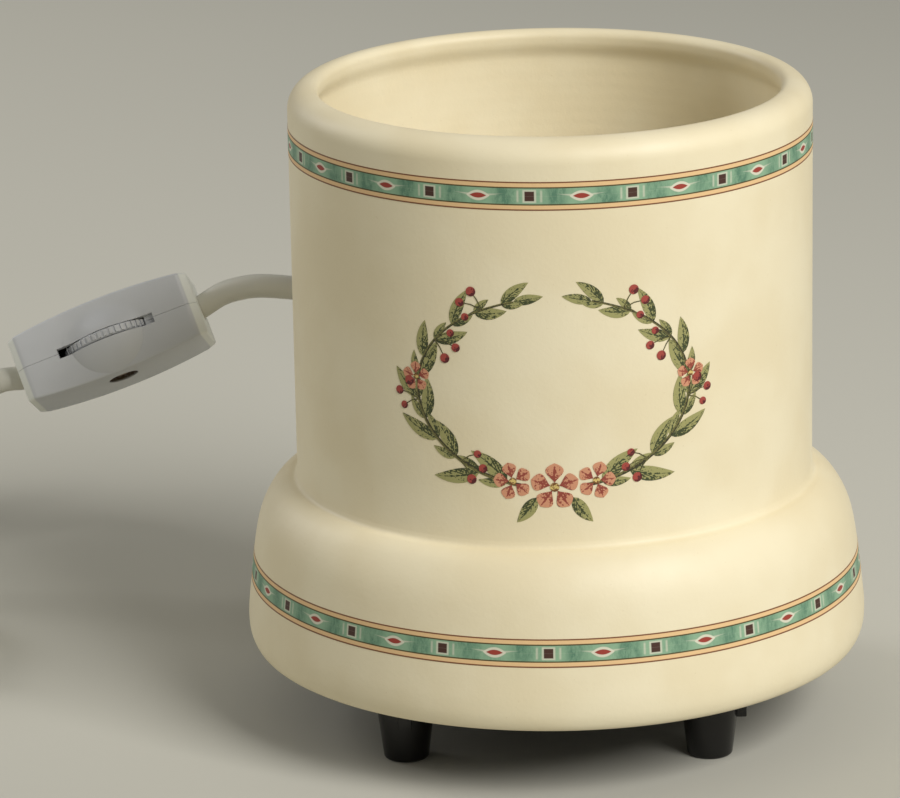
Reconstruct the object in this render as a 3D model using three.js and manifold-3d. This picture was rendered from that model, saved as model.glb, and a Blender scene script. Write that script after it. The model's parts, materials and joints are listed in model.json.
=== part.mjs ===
// Electric candle warmer: a ceramic pot with a heating plate in its well, a black base on four
// pegs, and a lead with a thumbwheel switch, a stored coil and a plug.
// Millimetres, +Z up. The origin is on the table under the pot's axis, and -Y is the front.
import * as THREE from "three";
import { mergeVertices } from "three/addons/utils/BufferGeometryUtils.js";
import Module from "manifold-3d";

const wasm = await Module();
wasm.setup();

// Clearances that all pieces share
const SEAT_GAP = 0.3;
const RUN_GAP = 0.4;
const OVERRUN = 3;

// Ceramic pot
const POT = {
  radius: 62,
  rimTop: 155.8,
  rimRound: 5.4,
  lipRound: 2,
  lipDepth: 3.8,
  lipCove: 2.4,
  wellWall: 5.8,
  bottom: 18.4,
  shoulder: 60,
  flangeReach: 11.6,
  flangeWall: 5.2,
  wall: 5.1,
  ledgeTop: 103.2,
  ledgeReach: 6.6,
  ledgeThickness: 6,
  ledgeSlope: 9,
  bottomLip: 4.2,
  shoulderWall: 5.6,
  shoulderBend: 3.6,
  shoulderDrop: 10.2,
};
// The lip's cove: shares of its reach out to the well, and of its height
const COVE_SHARES = [0.6, 0.4];
// Outside of the flange, from its foot to the corner under the cylinder:
// shares of the flange's reach past the cylinder, and of its height
const FLANGE_SHARES = [
  [0.62, 0],
  [0.84, 0.03],
  [0.95, 0.105],
  [1, 0.27],
  [0.985, 0.45],
  [0.92, 0.62],
  [0.8, 0.77],
  [0.63, 0.875],
  [0.42, 0.95],
  [0.2, 0.99],
  [0.05, 1.005],
  [0, 1.04],
];

// Heating plate and the heater pressed up against it
const PLATE = { thickness: 2, clearance: 0.9, edge: 1, bossRadius: 7, bossDepth: 6 };
const GASKET = { thickness: 1.2, width: 4.4 };
const MICA = { thickness: 0.5, inset: 2, bore: 8.5 };
const ELEMENT = { thickness: 0.6, inset: 3, width: 21, slots: 9, slotWidth: 2, bridge: 3.4, gap: 2.2 };
const PAD = { thickness: 2.6, bore: 8.5 };
const CLAMP = { thickness: 1.2, ledgeRoom: 5.6, rimDepth: 4, bore: 3.4 };
const WINDOW = { inset: 3, length: 7, width: 13 };
const TAB = { length: 3.6, thickness: 0.8, spacing: 5.4, drop: 3.4 };
const SHIELD = {
  z: 89.4,
  thickness: 0.8,
  wallRoom: 6.9,
  rimHeight: 3.2,
  bore: 3.4,
  wireHole: 2.6,
  wireTurnDeg: 25,
};

// Threaded rod down the middle, with its nuts and washer
const STUD = { radius: 3, bottom: 12.4, bite: 4.5 };
const NUT = { acrossFlats: 10, height: 4.6, thinHeight: 3.6 };
const WASHER = { radius: 9, thickness: 1.2 };

// Overheat fuse, held under the clamp plate by a bent strap
const FUSE = { radius: 2, length: 11, tip: 1, windowRoom: 12 };
const STRAP = { thickness: 0.8, width: 7, tail: 6, rise: 0.5 };

// Base cover and its feet
const COVER = { thickness: 2.2, radiusClearance: 0.8, drop: 0.8, rimHeight: 9.5, rimWall: 2.2, bore: 3.4 };
const VENT = { count: 12, inner: 18, footRoom: 15, width: 3 };
const FOOT = { count: 4, inset: 14.5, topRadius: 7.4, bottomRadius: 5.4, edge: 0.7, startDeg: 45 };
const FOOT_BOSS = { radius: 6, height: 5 };
const FOOT_LUG = { width: 3.2, height: 6.4, reach: 1.3, drop: 1.6 };
const SCREW = { radius: 1.5, headRadius: 3, headHeight: 2.2, length: 15 };

// Two-way terminal block on the cover, with its fixing screw
const BLOCK = { length: 21, width: 19, height: 11, x: -24, y: 16, wayBore: 2.1, waySpacing: 10, bevel: 1.2 };
const BLOCK_POST = { radius: 5, height: 3 };

// Lead, its strain relief in the pot's back wall, and the inner nut
const LEAD = { radius: 3.1, sides: 10, coreRadius: 1.1, coreSides: 8, coreOffset: 1.6 };
const WIRE = { stub: 4, bite: 5, loop: 10, lean: 5, rise: 12, swing: 24 };
const RELIEF = {
  turnDeg: 20,
  z: 78,
  barrelRadius: 5.6,
  barrelInset: 7,
  flangeRadius: 9,
  flangeThickness: 2.4,
  rootRadius: 6.6,
  tipRadius: 4.3,
  length: 23,
  ribs: 4,
  ribDepth: 0.7,
};
// Where each groove of the strain relief starts and ends, as shares of a rib's length
const GROOVE_SHARES = [0.55, 0.6, 0.9];
const RELIEF_NUT = { radius: 9.2, thickness: 4.2 };

// Thumbwheel switch on the lead
const SWITCH = {
  x: -115.2,
  y: 105,
  z: 62.9,
  yawDeg: 6,
  slopeDeg: 19.8,
  rollDeg: -27,
  length: 50,
  width: 22.5,
  endThickness: 17,
  crown: 1.7,
  sideBulge: 0.6,
  wall: 1.6,
  frontWall: 1.9,
  entryDepth: 4,
  chamfer: 1.4,
  archSteps: 8,
};
const WHEEL = {
  radius: 12.4,
  thickness: 2.2,
  offset: 3.1,
  ribs: 48,
  ribDepth: 0.5,
  slotLength: 26.5,
  slotDepth: 1.2,
  pegRadius: 0.6,
  pegReach: 4.2,
};
const DOME = { radius: 15.5, shift: 0.3, root: 11.9, steps: 6 };
const POST = { radius: 2.6, collarRadius: 5 };
const SWITCH_SCREW = { radius: 1.3, headRadius: 2.7, headHeight: 1.8, holeRadius: 3.7, holeDepth: 3 };
const SWITCH_NUT = { acrossFlats: 5, height: 2, bossRadius: 4.4 };
const CONTACT = { radius: 5, thickness: 0.8, lobes: 4, lobeRadius: 0.9 };
const SPRING = { thickness: 0.6, width: 4, length: 9.3 };

// Coil of stored lead on the table, its tie and the plug beside it
const COIL = {
  x: -190,
  y: 40,
  innerRadius: 22,
  turns: 6,
  pitch: 6.9,
  layerRise: 6.8,
  steps: 24,
  sides: 6,
  climbTurns: 0.25,
};
const TIE = { thickness: 0.7, width: 7, angleDeg: -20, corner: 3 };
const PLUG = {
  length: 22,
  width: 24,
  thickness: 15,
  rearWidth: 13,
  rearThickness: 11,
  shoulderShare: 0.45,
  chamfer: 1.5,
  bootLength: 15,
  bootRadius: 4.8,
  bootTip: 3.9,
  bootRibs: 3,
  ribDepth: 0.6,
  standOff: 30,
  sidestep: 3.5,
  dropShare: 0.33,
};
const BLADE = { length: 17.5, root: 4, width: 6.3, thickness: 1.5, spacing: 12.7, tipShare: 0.7, taper: 2 };

// Places that follow from the sizes
const plateBottom = POT.ledgeTop + GASKET.thickness + 2 * SEAT_GAP;
const plateTop = plateBottom + PLATE.thickness;
const bossBottom = plateBottom - PLATE.bossDepth;
const upperMicaTop = plateBottom - SEAT_GAP;
const elementTop = upperMicaTop - MICA.thickness - SEAT_GAP;
const lowerMicaTop = elementTop - ELEMENT.thickness - SEAT_GAP;
const padTop = lowerMicaTop - MICA.thickness - SEAT_GAP;
const clampTop = Math.min(padTop - PAD.thickness, bossBottom) - SEAT_GAP;
const clampBottom = clampTop - CLAMP.thickness;
const coverBottom = POT.bottom - COVER.drop;
const coverTop = coverBottom + COVER.thickness;
const flangeRadius = POT.radius + POT.flangeReach;
const flangeHeight = POT.shoulder - POT.bottom;
const wellRadius = POT.radius - POT.wellWall;
const ledgeRadius = wellRadius - POT.ledgeReach;
const innerRadius = POT.radius - POT.wall;
const mouthInBase = flangeRadius - POT.flangeWall - POT.bottomLip / 2;
const coverRadius = mouthInBase - COVER.radiusClearance;
const footReach = coverRadius - FOOT.inset;
const footTop = coverBottom - SEAT_GAP;
const clampRadius = ledgeRadius - CLAMP.ledgeRoom;
const micaRadius = clampRadius - MICA.inset;
const elementOuter = micaRadius - ELEMENT.inset;
const elementInner = elementOuter - ELEMENT.width;
const windowReach = elementOuter - WINDOW.inset;
const fuseReach = windowReach - FUSE.windowRoom;
const shieldRadius = innerRadius - SHIELD.wallRoom;

const MATERIALS = {
  ceramic: { color: 0xe9dfbf, roughness: 0.42, metalness: 0 },
  aluminium: { color: 0xb4b6b8, roughness: 0.38, metalness: 1 },
  steel: { color: 0x9a9c9e, roughness: 0.4, metalness: 1 },
  brass: { color: 0xb48a3c, roughness: 0.35, metalness: 1 },
  silicone: { color: 0xb9b4a8, roughness: 0.8, metalness: 0 },
  mica: { color: 0xa98a5c, roughness: 0.5, metalness: 0 },
  fibre: { color: 0xd8d4c8, roughness: 0.95, metalness: 0 },
  blackPlastic: { color: 0x0d0d0d, roughness: 0.4, metalness: 0 },
  whitePlastic: { color: 0xc9cbce, roughness: 0.45, metalness: 0 },
  leadSheath: { color: 0xcac4b0, roughness: 0.5, metalness: 0 },
  porcelain: { color: 0xe8e5dc, roughness: 0.3, metalness: 0 },
  brownCore: { color: 0x5b3520, roughness: 0.5, metalness: 0 },
  blueCore: { color: 0x2c5aa0, roughness: 0.5, metalness: 0 },
  sleeve: { color: 0xd9d6ca, roughness: 0.85, metalness: 0 },
};

const candleWarmer = new THREE.Group();

function rad(degrees) {
  return THREE.MathUtils.degToRad(degrees);
}

function add(name, geometry, material, parent = candleWarmer) {
  const mesh = new THREE.Mesh(geometry, new THREE.MeshStandardMaterial(MATERIALS[material]));
  mesh.name = name;
  parent.add(mesh);
  return mesh;
}

// Solids for joining and cutting
function solid(geometry) {
  const bare = geometry.clone();
  bare.deleteAttribute("normal");
  bare.deleteAttribute("uv");
  const merged = mergeVertices(bare, 1e-4);
  return new wasm.Manifold(
    new wasm.Mesh({
      numProp: 3,
      vertProperties: merged.attributes.position.array,
      triVerts: new Uint32Array(merged.index.array),
    }),
  );
}

function shell(made) {
  const mesh = made.getMesh();
  const geometry = new THREE.BufferGeometry();
  geometry.setAttribute("position", new THREE.BufferAttribute(mesh.vertProperties, mesh.numProp));
  geometry.setIndex(new THREE.BufferAttribute(mesh.triVerts, 1));
  geometry.computeVertexNormals();
  return geometry;
}

// Basic shapes, all with their axis along Z
function turned(profile, segments) {
  const points = profile.map(([r, z]) => new THREE.Vector2(r, z));
  return new THREE.LatheGeometry(points, segments).rotateX(Math.PI / 2);
}

function rod(radius, bottom, top, segments = 24) {
  const height = top - bottom;
  return new THREE.CylinderGeometry(radius, radius, height, segments)
    .rotateX(Math.PI / 2)
    .translate(0, 0, bottom + height / 2);
}

function block(width, depth, height) {
  return new THREE.BoxGeometry(width, depth, height);
}

function washerRing(outer, bore, bottom, top, segments = 24) {
  const profile = [
    [bore, bottom],
    [outer, bottom],
    [outer, top],
    [bore, top],
    [bore, bottom],
  ];
  return turned(profile, segments);
}

function plateOf(shape, thickness, curveSegments = 8) {
  return new THREE.ExtrudeGeometry(shape, { depth: thickness, bevelEnabled: false, curveSegments });
}

function arc(centreR, centreZ, radius, fromDeg, toDeg, steps) {
  const points = [];
  for (let i = 0; i <= steps; i += 1) {
    const angle = rad(fromDeg + ((toDeg - fromDeg) * i) / steps);
    points.push([centreR + radius * Math.cos(angle), centreZ + radius * Math.sin(angle)]);
  }
  return points;
}

function hexagon(acrossFlats) {
  const shape = new THREE.Shape();
  const corner = acrossFlats / Math.sqrt(3);
  for (let i = 0; i < 6; i += 1) {
    const angle = (i * Math.PI) / 3;
    const place = [corner * Math.cos(angle), corner * Math.sin(angle)];
    if (i === 0) shape.moveTo(...place);
    else shape.lineTo(...place);
  }
  shape.closePath();
  return shape;
}

function hexNut(acrossFlats, height, bore, bottom) {
  const shape = hexagon(acrossFlats);
  shape.holes.push(new THREE.Path().absarc(0, 0, bore, 0, 2 * Math.PI, true));
  return plateOf(shape, height).translate(0, 0, bottom);
}

// A tube along chosen points, closed at both ends
function tube(points, radius, sides, steps) {
  const path = new THREE.CatmullRomCurve3(points.map((p) => new THREE.Vector3(...p)), false, "centripetal");
  const section = new THREE.Shape();
  for (let i = 0; i < sides; i += 1) {
    const angle = (2 * Math.PI * i) / sides;
    const place = [radius * Math.cos(angle), radius * Math.sin(angle)];
    if (i === 0) section.moveTo(...place);
    else section.lineTo(...place);
  }
  section.closePath();
  return new THREE.ExtrudeGeometry(section, { extrudePath: path, steps, bevelEnabled: false });
}

// Ceramic pot, as three rings that meet: the cylinder with its rolled rim, the flange below the
// crease of the shoulder, and the ledge inside that carries the plate
const ledgeBottom = POT.ledgeTop - POT.ledgeThickness;

function flangeSide() {
  return FLANGE_SHARES.map(([r, z]) => [
    POT.radius + r * POT.flangeReach,
    POT.bottom + z * flangeHeight,
  ]);
}

function cylinderProfile(crease) {
  const rimCentre = POT.radius - POT.rimRound;
  const lipRadius = rimCentre - POT.lipRound;
  const lipFoot = POT.rimTop - POT.lipDepth;
  return [
    [POT.radius, crease + SEAT_GAP],
    ...arc(rimCentre, POT.rimTop - POT.rimRound, POT.rimRound, 0, 90, 6),
    ...arc(rimCentre, POT.rimTop - POT.lipRound, POT.lipRound, 120, 180, 2),
    [lipRadius, lipFoot],
    [lipRadius + (wellRadius - lipRadius) * COVE_SHARES[0], lipFoot - POT.lipCove * COVE_SHARES[1]],
    [wellRadius, lipFoot - POT.lipCove],
    [wellRadius, ledgeBottom],
    [innerRadius, ledgeBottom - POT.ledgeSlope],
    [innerRadius, crease + SEAT_GAP],
    [POT.radius, crease + SEAT_GAP],
  ];
}

function flangeProfile(side, crease) {
  const flangeInside = flangeRadius - POT.flangeWall;
  const shoulderInside = POT.shoulder - POT.shoulderWall;
  const bevel = POT.bottomLip / 2;
  return [
    ...side,
    [innerRadius, crease],
    [innerRadius, POT.shoulder],
    [innerRadius + POT.shoulderBend, shoulderInside],
    [flangeInside - bevel, shoulderInside - POT.shoulderBend],
    [flangeInside, shoulderInside - POT.shoulderDrop],
    [flangeInside, POT.bottom + POT.bottomLip],
    [mouthInBase, POT.bottom],
    side[0],
  ];
}

function ledgeProfile() {
  const outer = wellRadius - SEAT_GAP;
  const slopeShare = (outer - ledgeRadius) / (innerRadius - ledgeRadius);
  return [
    [ledgeRadius, ledgeBottom],
    [outer, ledgeBottom - POT.ledgeSlope * slopeShare],
    [outer, POT.ledgeTop],
    [ledgeRadius, POT.ledgeTop],
    [ledgeRadius, ledgeBottom],
  ];
}

function reliefFrame(geometry) {
  return geometry.rotateX(-Math.PI / 2).rotateZ(rad(RELIEF.turnDeg)).translate(0, 0, RELIEF.z);
}

function makePot() {
  const side = flangeSide();
  const crease = side[side.length - 1][1];
  const cylinder = solid(turned(cylinderProfile(crease), 44));
  const holeRadius = RELIEF.barrelRadius + RUN_GAP;
  const hole = solid(reliefFrame(rod(holeRadius, innerRadius - OVERRUN, POT.radius + OVERRUN, 20)));
  add("ceramic_pot", shell(cylinder.subtract(hole)), "ceramic");
  add("pot_flange", turned(flangeProfile(side, crease), 44), "ceramic");
  add("pot_ledge", turned(ledgeProfile(), 44), "ceramic");
}

// Plate, gasket and the stack of the heater
function makePlate() {
  const radius = wellRadius - PLATE.clearance;
  const blindBottom = bossBottom + STUD.bite + SEAT_GAP;
  const profile = [
    [0, blindBottom],
    [STUD.radius + SEAT_GAP / 2, blindBottom],
    [STUD.radius + SEAT_GAP / 2, bossBottom],
    [PLATE.bossRadius, bossBottom],
    [PLATE.bossRadius, plateBottom],
    [radius - PLATE.edge, plateBottom],
    [radius, plateBottom + PLATE.edge / 2],
    [radius, plateTop - PLATE.edge],
    [radius - PLATE.edge, plateTop],
    [0, plateTop],
  ];
  add("heating_plate", turned(profile, 40), "aluminium");
}

function makeGasket() {
  const bottom = POT.ledgeTop + SEAT_GAP;
  const outer = wellRadius - PLATE.clearance;
  const ring = washerRing(outer, outer - GASKET.width, bottom, bottom + GASKET.thickness, 30);
  add("plate_gasket", ring, "silicone");
}

function makeElement() {
  let ring = solid(washerRing(elementOuter, elementInner, elementTop - ELEMENT.thickness, elementTop, 30));
  const length = elementOuter - elementInner;
  const cutHeight = ELEMENT.thickness + 2 * OVERRUN;
  for (let i = 0; i < 2 * ELEMENT.slots; i += 1) {
    const fromInside = i % 2 === 0;
    const middle = (elementInner + elementOuter) / 2 + (fromInside ? -ELEMENT.bridge : ELEMENT.bridge);
    const cut = block(length, ELEMENT.slotWidth, cutHeight)
      .translate(middle, 0, elementTop)
      .rotateZ((Math.PI * (i + 0.5)) / ELEMENT.slots);
    ring = ring.subtract(solid(cut));
  }
  const gap = block(elementOuter + OVERRUN, ELEMENT.gap, cutHeight);
  gap.translate(elementOuter / 2, 0, elementTop);
  ring = ring.subtract(solid(gap));
  const tabBottom = clampBottom - TAB.drop;
  for (const side of [-1, 1]) {
    const tab = block(TAB.length, TAB.thickness, elementTop - tabBottom).translate(
      windowReach,
      (side * TAB.spacing) / 2,
      (elementTop + tabBottom) / 2,
    );
    ring = ring.add(solid(tab));
  }
  add("heating_element", shell(ring), "steel");
}

// The two tabs of the element come down through a window in what lies below it
function windowed(geometry, bottom, top) {
  const cut = block(WINDOW.length, WINDOW.width, top - bottom + 2 * OVERRUN).translate(
    windowReach,
    0,
    (bottom + top) / 2,
  );
  return shell(solid(geometry).subtract(solid(cut)));
}

function makeClamp() {
  const rimBottom = clampBottom - CLAMP.rimDepth;
  const profile = [
    [CLAMP.bore, clampBottom],
    [clampRadius - CLAMP.thickness, clampBottom],
    [clampRadius - CLAMP.thickness, rimBottom],
    [clampRadius, rimBottom],
    [clampRadius, clampTop - PLATE.edge],
    [clampRadius - PLATE.edge, clampTop],
    [CLAMP.bore, clampTop],
    [CLAMP.bore, clampBottom],
  ];
  add("clamp_plate", windowed(turned(profile, 28), clampBottom, clampTop), "steel");
}

function makeShield() {
  const top = SHIELD.z + SHIELD.thickness;
  const profile = [
    [SHIELD.bore, SHIELD.z],
    [shieldRadius, SHIELD.z],
    [shieldRadius, top + SHIELD.rimHeight],
    [shieldRadius - SHIELD.thickness, top + SHIELD.rimHeight],
    [shieldRadius - SHIELD.thickness, top],
    [SHIELD.bore, top],
    [SHIELD.bore, SHIELD.z],
  ];
  let dish = solid(turned(profile, 28));
  for (const side of [-1, 1]) {
    const hole = rod(SHIELD.wireHole, SHIELD.z - OVERRUN, top + OVERRUN, 12)
      .translate(windowReach, 0, 0)
      .rotateZ(side * rad(SHIELD.wireTurnDeg));
    dish = dish.subtract(solid(hole));
  }
  add("heat_shield", shell(dish), "steel");
}

function makeHeater() {
  makePlate();
  makeGasket();
  const upperMicaBottom = upperMicaTop - MICA.thickness;
  add("mica_disc_upper", washerRing(micaRadius, MICA.bore, upperMicaBottom, upperMicaTop), "mica");
  makeElement();
  const micaBottom = lowerMicaTop - MICA.thickness;
  const lowerMica = washerRing(micaRadius, MICA.bore, micaBottom, lowerMicaTop);
  add("mica_disc_lower", windowed(lowerMica, micaBottom, lowerMicaTop), "mica");
  const padBottom = padTop - PAD.thickness;
  const pad = washerRing(micaRadius, PAD.bore, padBottom, padTop);
  add("insulation_pad", windowed(pad, padBottom, padTop), "fibre");
  makeClamp();
  makeShield();
}

function makeStud() {
  const top = bossBottom + STUD.bite;
  const bore = STUD.radius + SEAT_GAP / 2;
  const coverNutTop = coverBottom - SEAT_GAP - WASHER.thickness - SEAT_GAP;
  add("centre_stud", rod(STUD.radius, STUD.bottom, top, 16), "steel");
  const clampNutBottom = clampBottom - SEAT_GAP - NUT.height;
  add("clamp_nut", hexNut(NUT.acrossFlats, NUT.height, bore, clampNutBottom), "steel");
  add("shield_nut", hexNut(NUT.acrossFlats, NUT.height, bore, SHIELD.z - SEAT_GAP - NUT.height), "steel");
  const washerTop = coverBottom - SEAT_GAP;
  add("base_washer", washerRing(WASHER.radius, bore, washerTop - WASHER.thickness, washerTop, 24), "steel");
  add("base_nut", hexNut(NUT.acrossFlats, NUT.thinHeight, bore, coverNutTop - NUT.thinHeight), "steel");
}

// Overheat fuse lying under the clamp plate, in a bent strap
function makeFuse() {
  const z = clampBottom - SEAT_GAP - FUSE.radius;
  const half = FUSE.length / 2;
  const profile = [
    [0, -half - FUSE.tip],
    [FUSE.radius / 2, -half],
    [FUSE.radius, -half + FUSE.tip],
    [FUSE.radius, half],
    [0, half],
  ];
  add("overheat_fuse", turned(profile, 14).rotateX(Math.PI / 2), "steel").position.set(fuseReach, 0, z);

  const inner = FUSE.radius + SEAT_GAP;
  const outer = inner + STRAP.thickness;
  const top = FUSE.radius + SEAT_GAP - STRAP.rise;
  const shape = new THREE.Shape();
  shape.moveTo(-outer - STRAP.tail, top);
  shape.lineTo(-outer - STRAP.tail, top - STRAP.thickness);
  shape.lineTo(-outer, top - STRAP.thickness);
  shape.lineTo(-outer, 0);
  shape.absarc(0, 0, outer, Math.PI, 2 * Math.PI, false);
  shape.lineTo(outer, top);
  shape.lineTo(inner, top);
  shape.lineTo(inner, 0);
  shape.absarc(0, 0, inner, 0, Math.PI, true);
  shape.lineTo(-inner, top);
  shape.closePath();
  const strap = plateOf(shape, STRAP.width).translate(0, 0, -STRAP.width / 2).rotateX(Math.PI / 2);
  add("fuse_strap", strap, "steel").position.set(fuseReach, 0, z);
}

// Base cover: a shallow dish with vents, posts for the feet and the terminal block
function footPlaces() {
  const places = [];
  for (let i = 0; i < FOOT.count; i += 1) {
    places.push(rad(FOOT.startDeg) + (2 * Math.PI * i) / FOOT.count);
  }
  return places;
}

function makeCover() {
  const rimTop = coverTop + COVER.rimHeight;
  const profile = [
    [COVER.bore, coverBottom],
    [coverRadius - COVER.drop, coverBottom],
    [coverRadius, coverBottom + COVER.drop],
    [coverRadius, rimTop],
    [coverRadius - COVER.rimWall, rimTop],
    [coverRadius - COVER.rimWall, coverTop],
    [COVER.bore, coverTop],
    [COVER.bore, coverBottom],
  ];
  let dish = solid(turned(profile, 36));
  const screwHole = SCREW.radius + SEAT_GAP;
  for (const angle of footPlaces()) {
    const post = rod(FOOT_BOSS.radius, coverTop - COVER.thickness / 2, coverTop + FOOT_BOSS.height, 12);
    const hole = rod(screwHole, coverBottom - OVERRUN, coverTop + FOOT_BOSS.height + OVERRUN, 8);
    dish = dish.add(solid(post.translate(footReach, 0, 0).rotateZ(angle)));
    dish = dish.subtract(solid(hole.translate(footReach, 0, 0).rotateZ(angle)));
  }
  const ventOuter = footReach - VENT.footRoom;
  const ventMiddle = (VENT.inner + ventOuter) / 2;
  for (let i = 0; i < VENT.count; i += 1) {
    const vent = block(ventOuter - VENT.inner, VENT.width, COVER.thickness + 2 * OVERRUN)
      .translate(ventMiddle, 0, coverBottom)
      .rotateZ((2 * Math.PI * (i + 0.5)) / VENT.count);
    dish = dish.subtract(solid(vent));
  }
  const post = rod(BLOCK_POST.radius, coverTop - COVER.thickness / 2, coverTop + BLOCK_POST.height, 16);
  const hole = rod(screwHole, coverBottom - OVERRUN, coverTop + BLOCK_POST.height + OVERRUN, 12);
  dish = dish.add(solid(post.translate(BLOCK.x, BLOCK.y, 0)));
  dish = dish.subtract(solid(hole.translate(BLOCK.x, BLOCK.y, 0)));
  add("base_cover", shell(dish), "blackPlastic");
}

function footGeometry() {
  const screwEnd = coverTop + FOOT_BOSS.height - SCREW.length;
  const profile = [
    [0, 0],
    [FOOT.bottomRadius - FOOT.edge, 0],
    [FOOT.bottomRadius, FOOT.edge],
    [FOOT.topRadius, footTop],
    [SCREW.radius + SEAT_GAP, footTop],
    [SCREW.radius + SEAT_GAP, screwEnd - SEAT_GAP],
    [0, screwEnd - SEAT_GAP],
  ];
  const peg = solid(turned(profile, 14));
  const lug = block(FOOT.topRadius / 2 + FOOT_LUG.reach, FOOT_LUG.width, FOOT_LUG.height).translate(
    (3 * FOOT.topRadius) / 4 + FOOT_LUG.reach / 2,
    0,
    footTop - FOOT_LUG.drop - FOOT_LUG.height / 2,
  );
  return shell(peg.add(solid(lug.rotateZ(rad(FOOT.startDeg)))));
}

function screwGeometry(headBottom, length) {
  const headTop = headBottom + SCREW.headHeight;
  const bottom = headBottom - length;
  const profile = [
    [0, bottom],
    [SCREW.radius / 2, bottom],
    [SCREW.radius, bottom + SCREW.radius],
    [SCREW.radius, headBottom],
    [SCREW.headRadius, headBottom],
    [SCREW.headRadius, headBottom + SCREW.headHeight / 2],
    [SCREW.headRadius / 2, headTop],
    [0, headTop],
  ];
  return turned(profile, 10);
}

function makeFeet() {
  const names = ["rear_right", "rear_left", "front_left", "front_right"];
  const headBottom = coverTop + FOOT_BOSS.height + SEAT_GAP;
  footPlaces().forEach((angle, i) => {
    const station = new THREE.Group();
    station.rotation.z = angle;
    candleWarmer.add(station);
    add("foot_" + names[i], footGeometry().translate(footReach, 0, 0), "blackPlastic", station);
    const screw = screwGeometry(headBottom, SCREW.length).translate(footReach, 0, 0);
    add("foot_screw_" + names[i], screw, "steel", station);
  });
}

// Terminal block with two wire ways, and the screw that holds it
const blockBottom = coverTop + BLOCK_POST.height + SEAT_GAP;
const wayZ = blockBottom + BLOCK.height / 2;

function makeTerminalBlock() {
  const outline = new THREE.Shape();
  const halfWidth = BLOCK.width / 2;
  const halfLength = BLOCK.length / 2;
  outline.moveTo(-halfWidth, 0);
  outline.lineTo(halfWidth, 0);
  outline.lineTo(halfWidth, BLOCK.height - BLOCK.bevel);
  outline.lineTo(halfWidth - BLOCK.bevel, BLOCK.height);
  outline.lineTo(BLOCK.bevel - halfWidth, BLOCK.height);
  outline.lineTo(-halfWidth, BLOCK.height - BLOCK.bevel);
  outline.closePath();
  let body = solid(
    plateOf(outline, BLOCK.length)
      .translate(0, 0, -halfLength)
      .rotateX(Math.PI / 2)
      .rotateZ(Math.PI / 2)
      .translate(0, 0, blockBottom),
  );
  for (const side of [-1, 1]) {
    const way = rod(BLOCK.wayBore, -halfLength - OVERRUN, halfLength + OVERRUN, 12)
      .rotateY(Math.PI / 2)
      .translate(0, (side * BLOCK.waySpacing) / 2, wayZ);
    body = body.subtract(solid(way));
  }
  const blockTop = blockBottom + BLOCK.height;
  const screwHole = rod(SCREW.radius + SEAT_GAP, blockBottom - OVERRUN, blockTop + OVERRUN, 12);
  body = body.subtract(solid(screwHole));
  add("terminal_block", shell(body.translate([BLOCK.x, BLOCK.y, 0])), "porcelain");
  const screw = screwGeometry(blockTop + SEAT_GAP, SCREW.length);
  add("terminal_screw", screw.translate(BLOCK.x, BLOCK.y, 0), "steel");
}

// Strain relief through the pot's back wall, and its nut inside
const reliefInner = innerRadius - RELIEF.barrelInset;
const reliefRoot = POT.radius + SEAT_GAP / 2 + RELIEF.flangeThickness;
const reliefTip = reliefRoot + RELIEF.length;

function makeRelief() {
  const profile = [
    [0, reliefInner],
    [RELIEF.barrelRadius, reliefInner],
    [RELIEF.barrelRadius, POT.radius + SEAT_GAP / 2],
    [RELIEF.flangeRadius, POT.radius + SEAT_GAP / 2],
    [RELIEF.flangeRadius, reliefRoot],
  ];
  for (let i = 0; i <= RELIEF.ribs; i += 1) {
    const share = i / RELIEF.ribs;
    const radius = THREE.MathUtils.lerp(RELIEF.rootRadius, RELIEF.tipRadius, share);
    const place = reliefRoot + share * RELIEF.length;
    profile.push([radius, place]);
    if (i === RELIEF.ribs) break;
    const ribLength = RELIEF.length / RELIEF.ribs;
    profile.push([radius, place + ribLength * GROOVE_SHARES[0]]);
    profile.push([radius - RELIEF.ribDepth, place + ribLength * GROOVE_SHARES[1]]);
    profile.push([radius - RELIEF.ribDepth, place + ribLength * GROOVE_SHARES[2]]);
  }
  profile.push([0, reliefTip]);
  add("strain_relief", reliefFrame(turned(profile, 14)), "leadSheath");

  const nutTop = Math.sqrt(innerRadius ** 2 - RELIEF_NUT.radius ** 2) - SEAT_GAP;
  const bore = RELIEF.barrelRadius + SEAT_GAP;
  const nut = washerRing(RELIEF_NUT.radius, bore, nutTop - RELIEF_NUT.thickness, nutTop, 12);
  add("relief_nut", reliefFrame(nut), "blackPlastic");
}

// Point at a reach along the strain relief's axis, shifted up
function reliefPoint(reach, up) {
  const turn = rad(RELIEF.turnDeg);
  return [-reach * Math.sin(turn), reach * Math.cos(turn), RELIEF.z + up];
}

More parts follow.
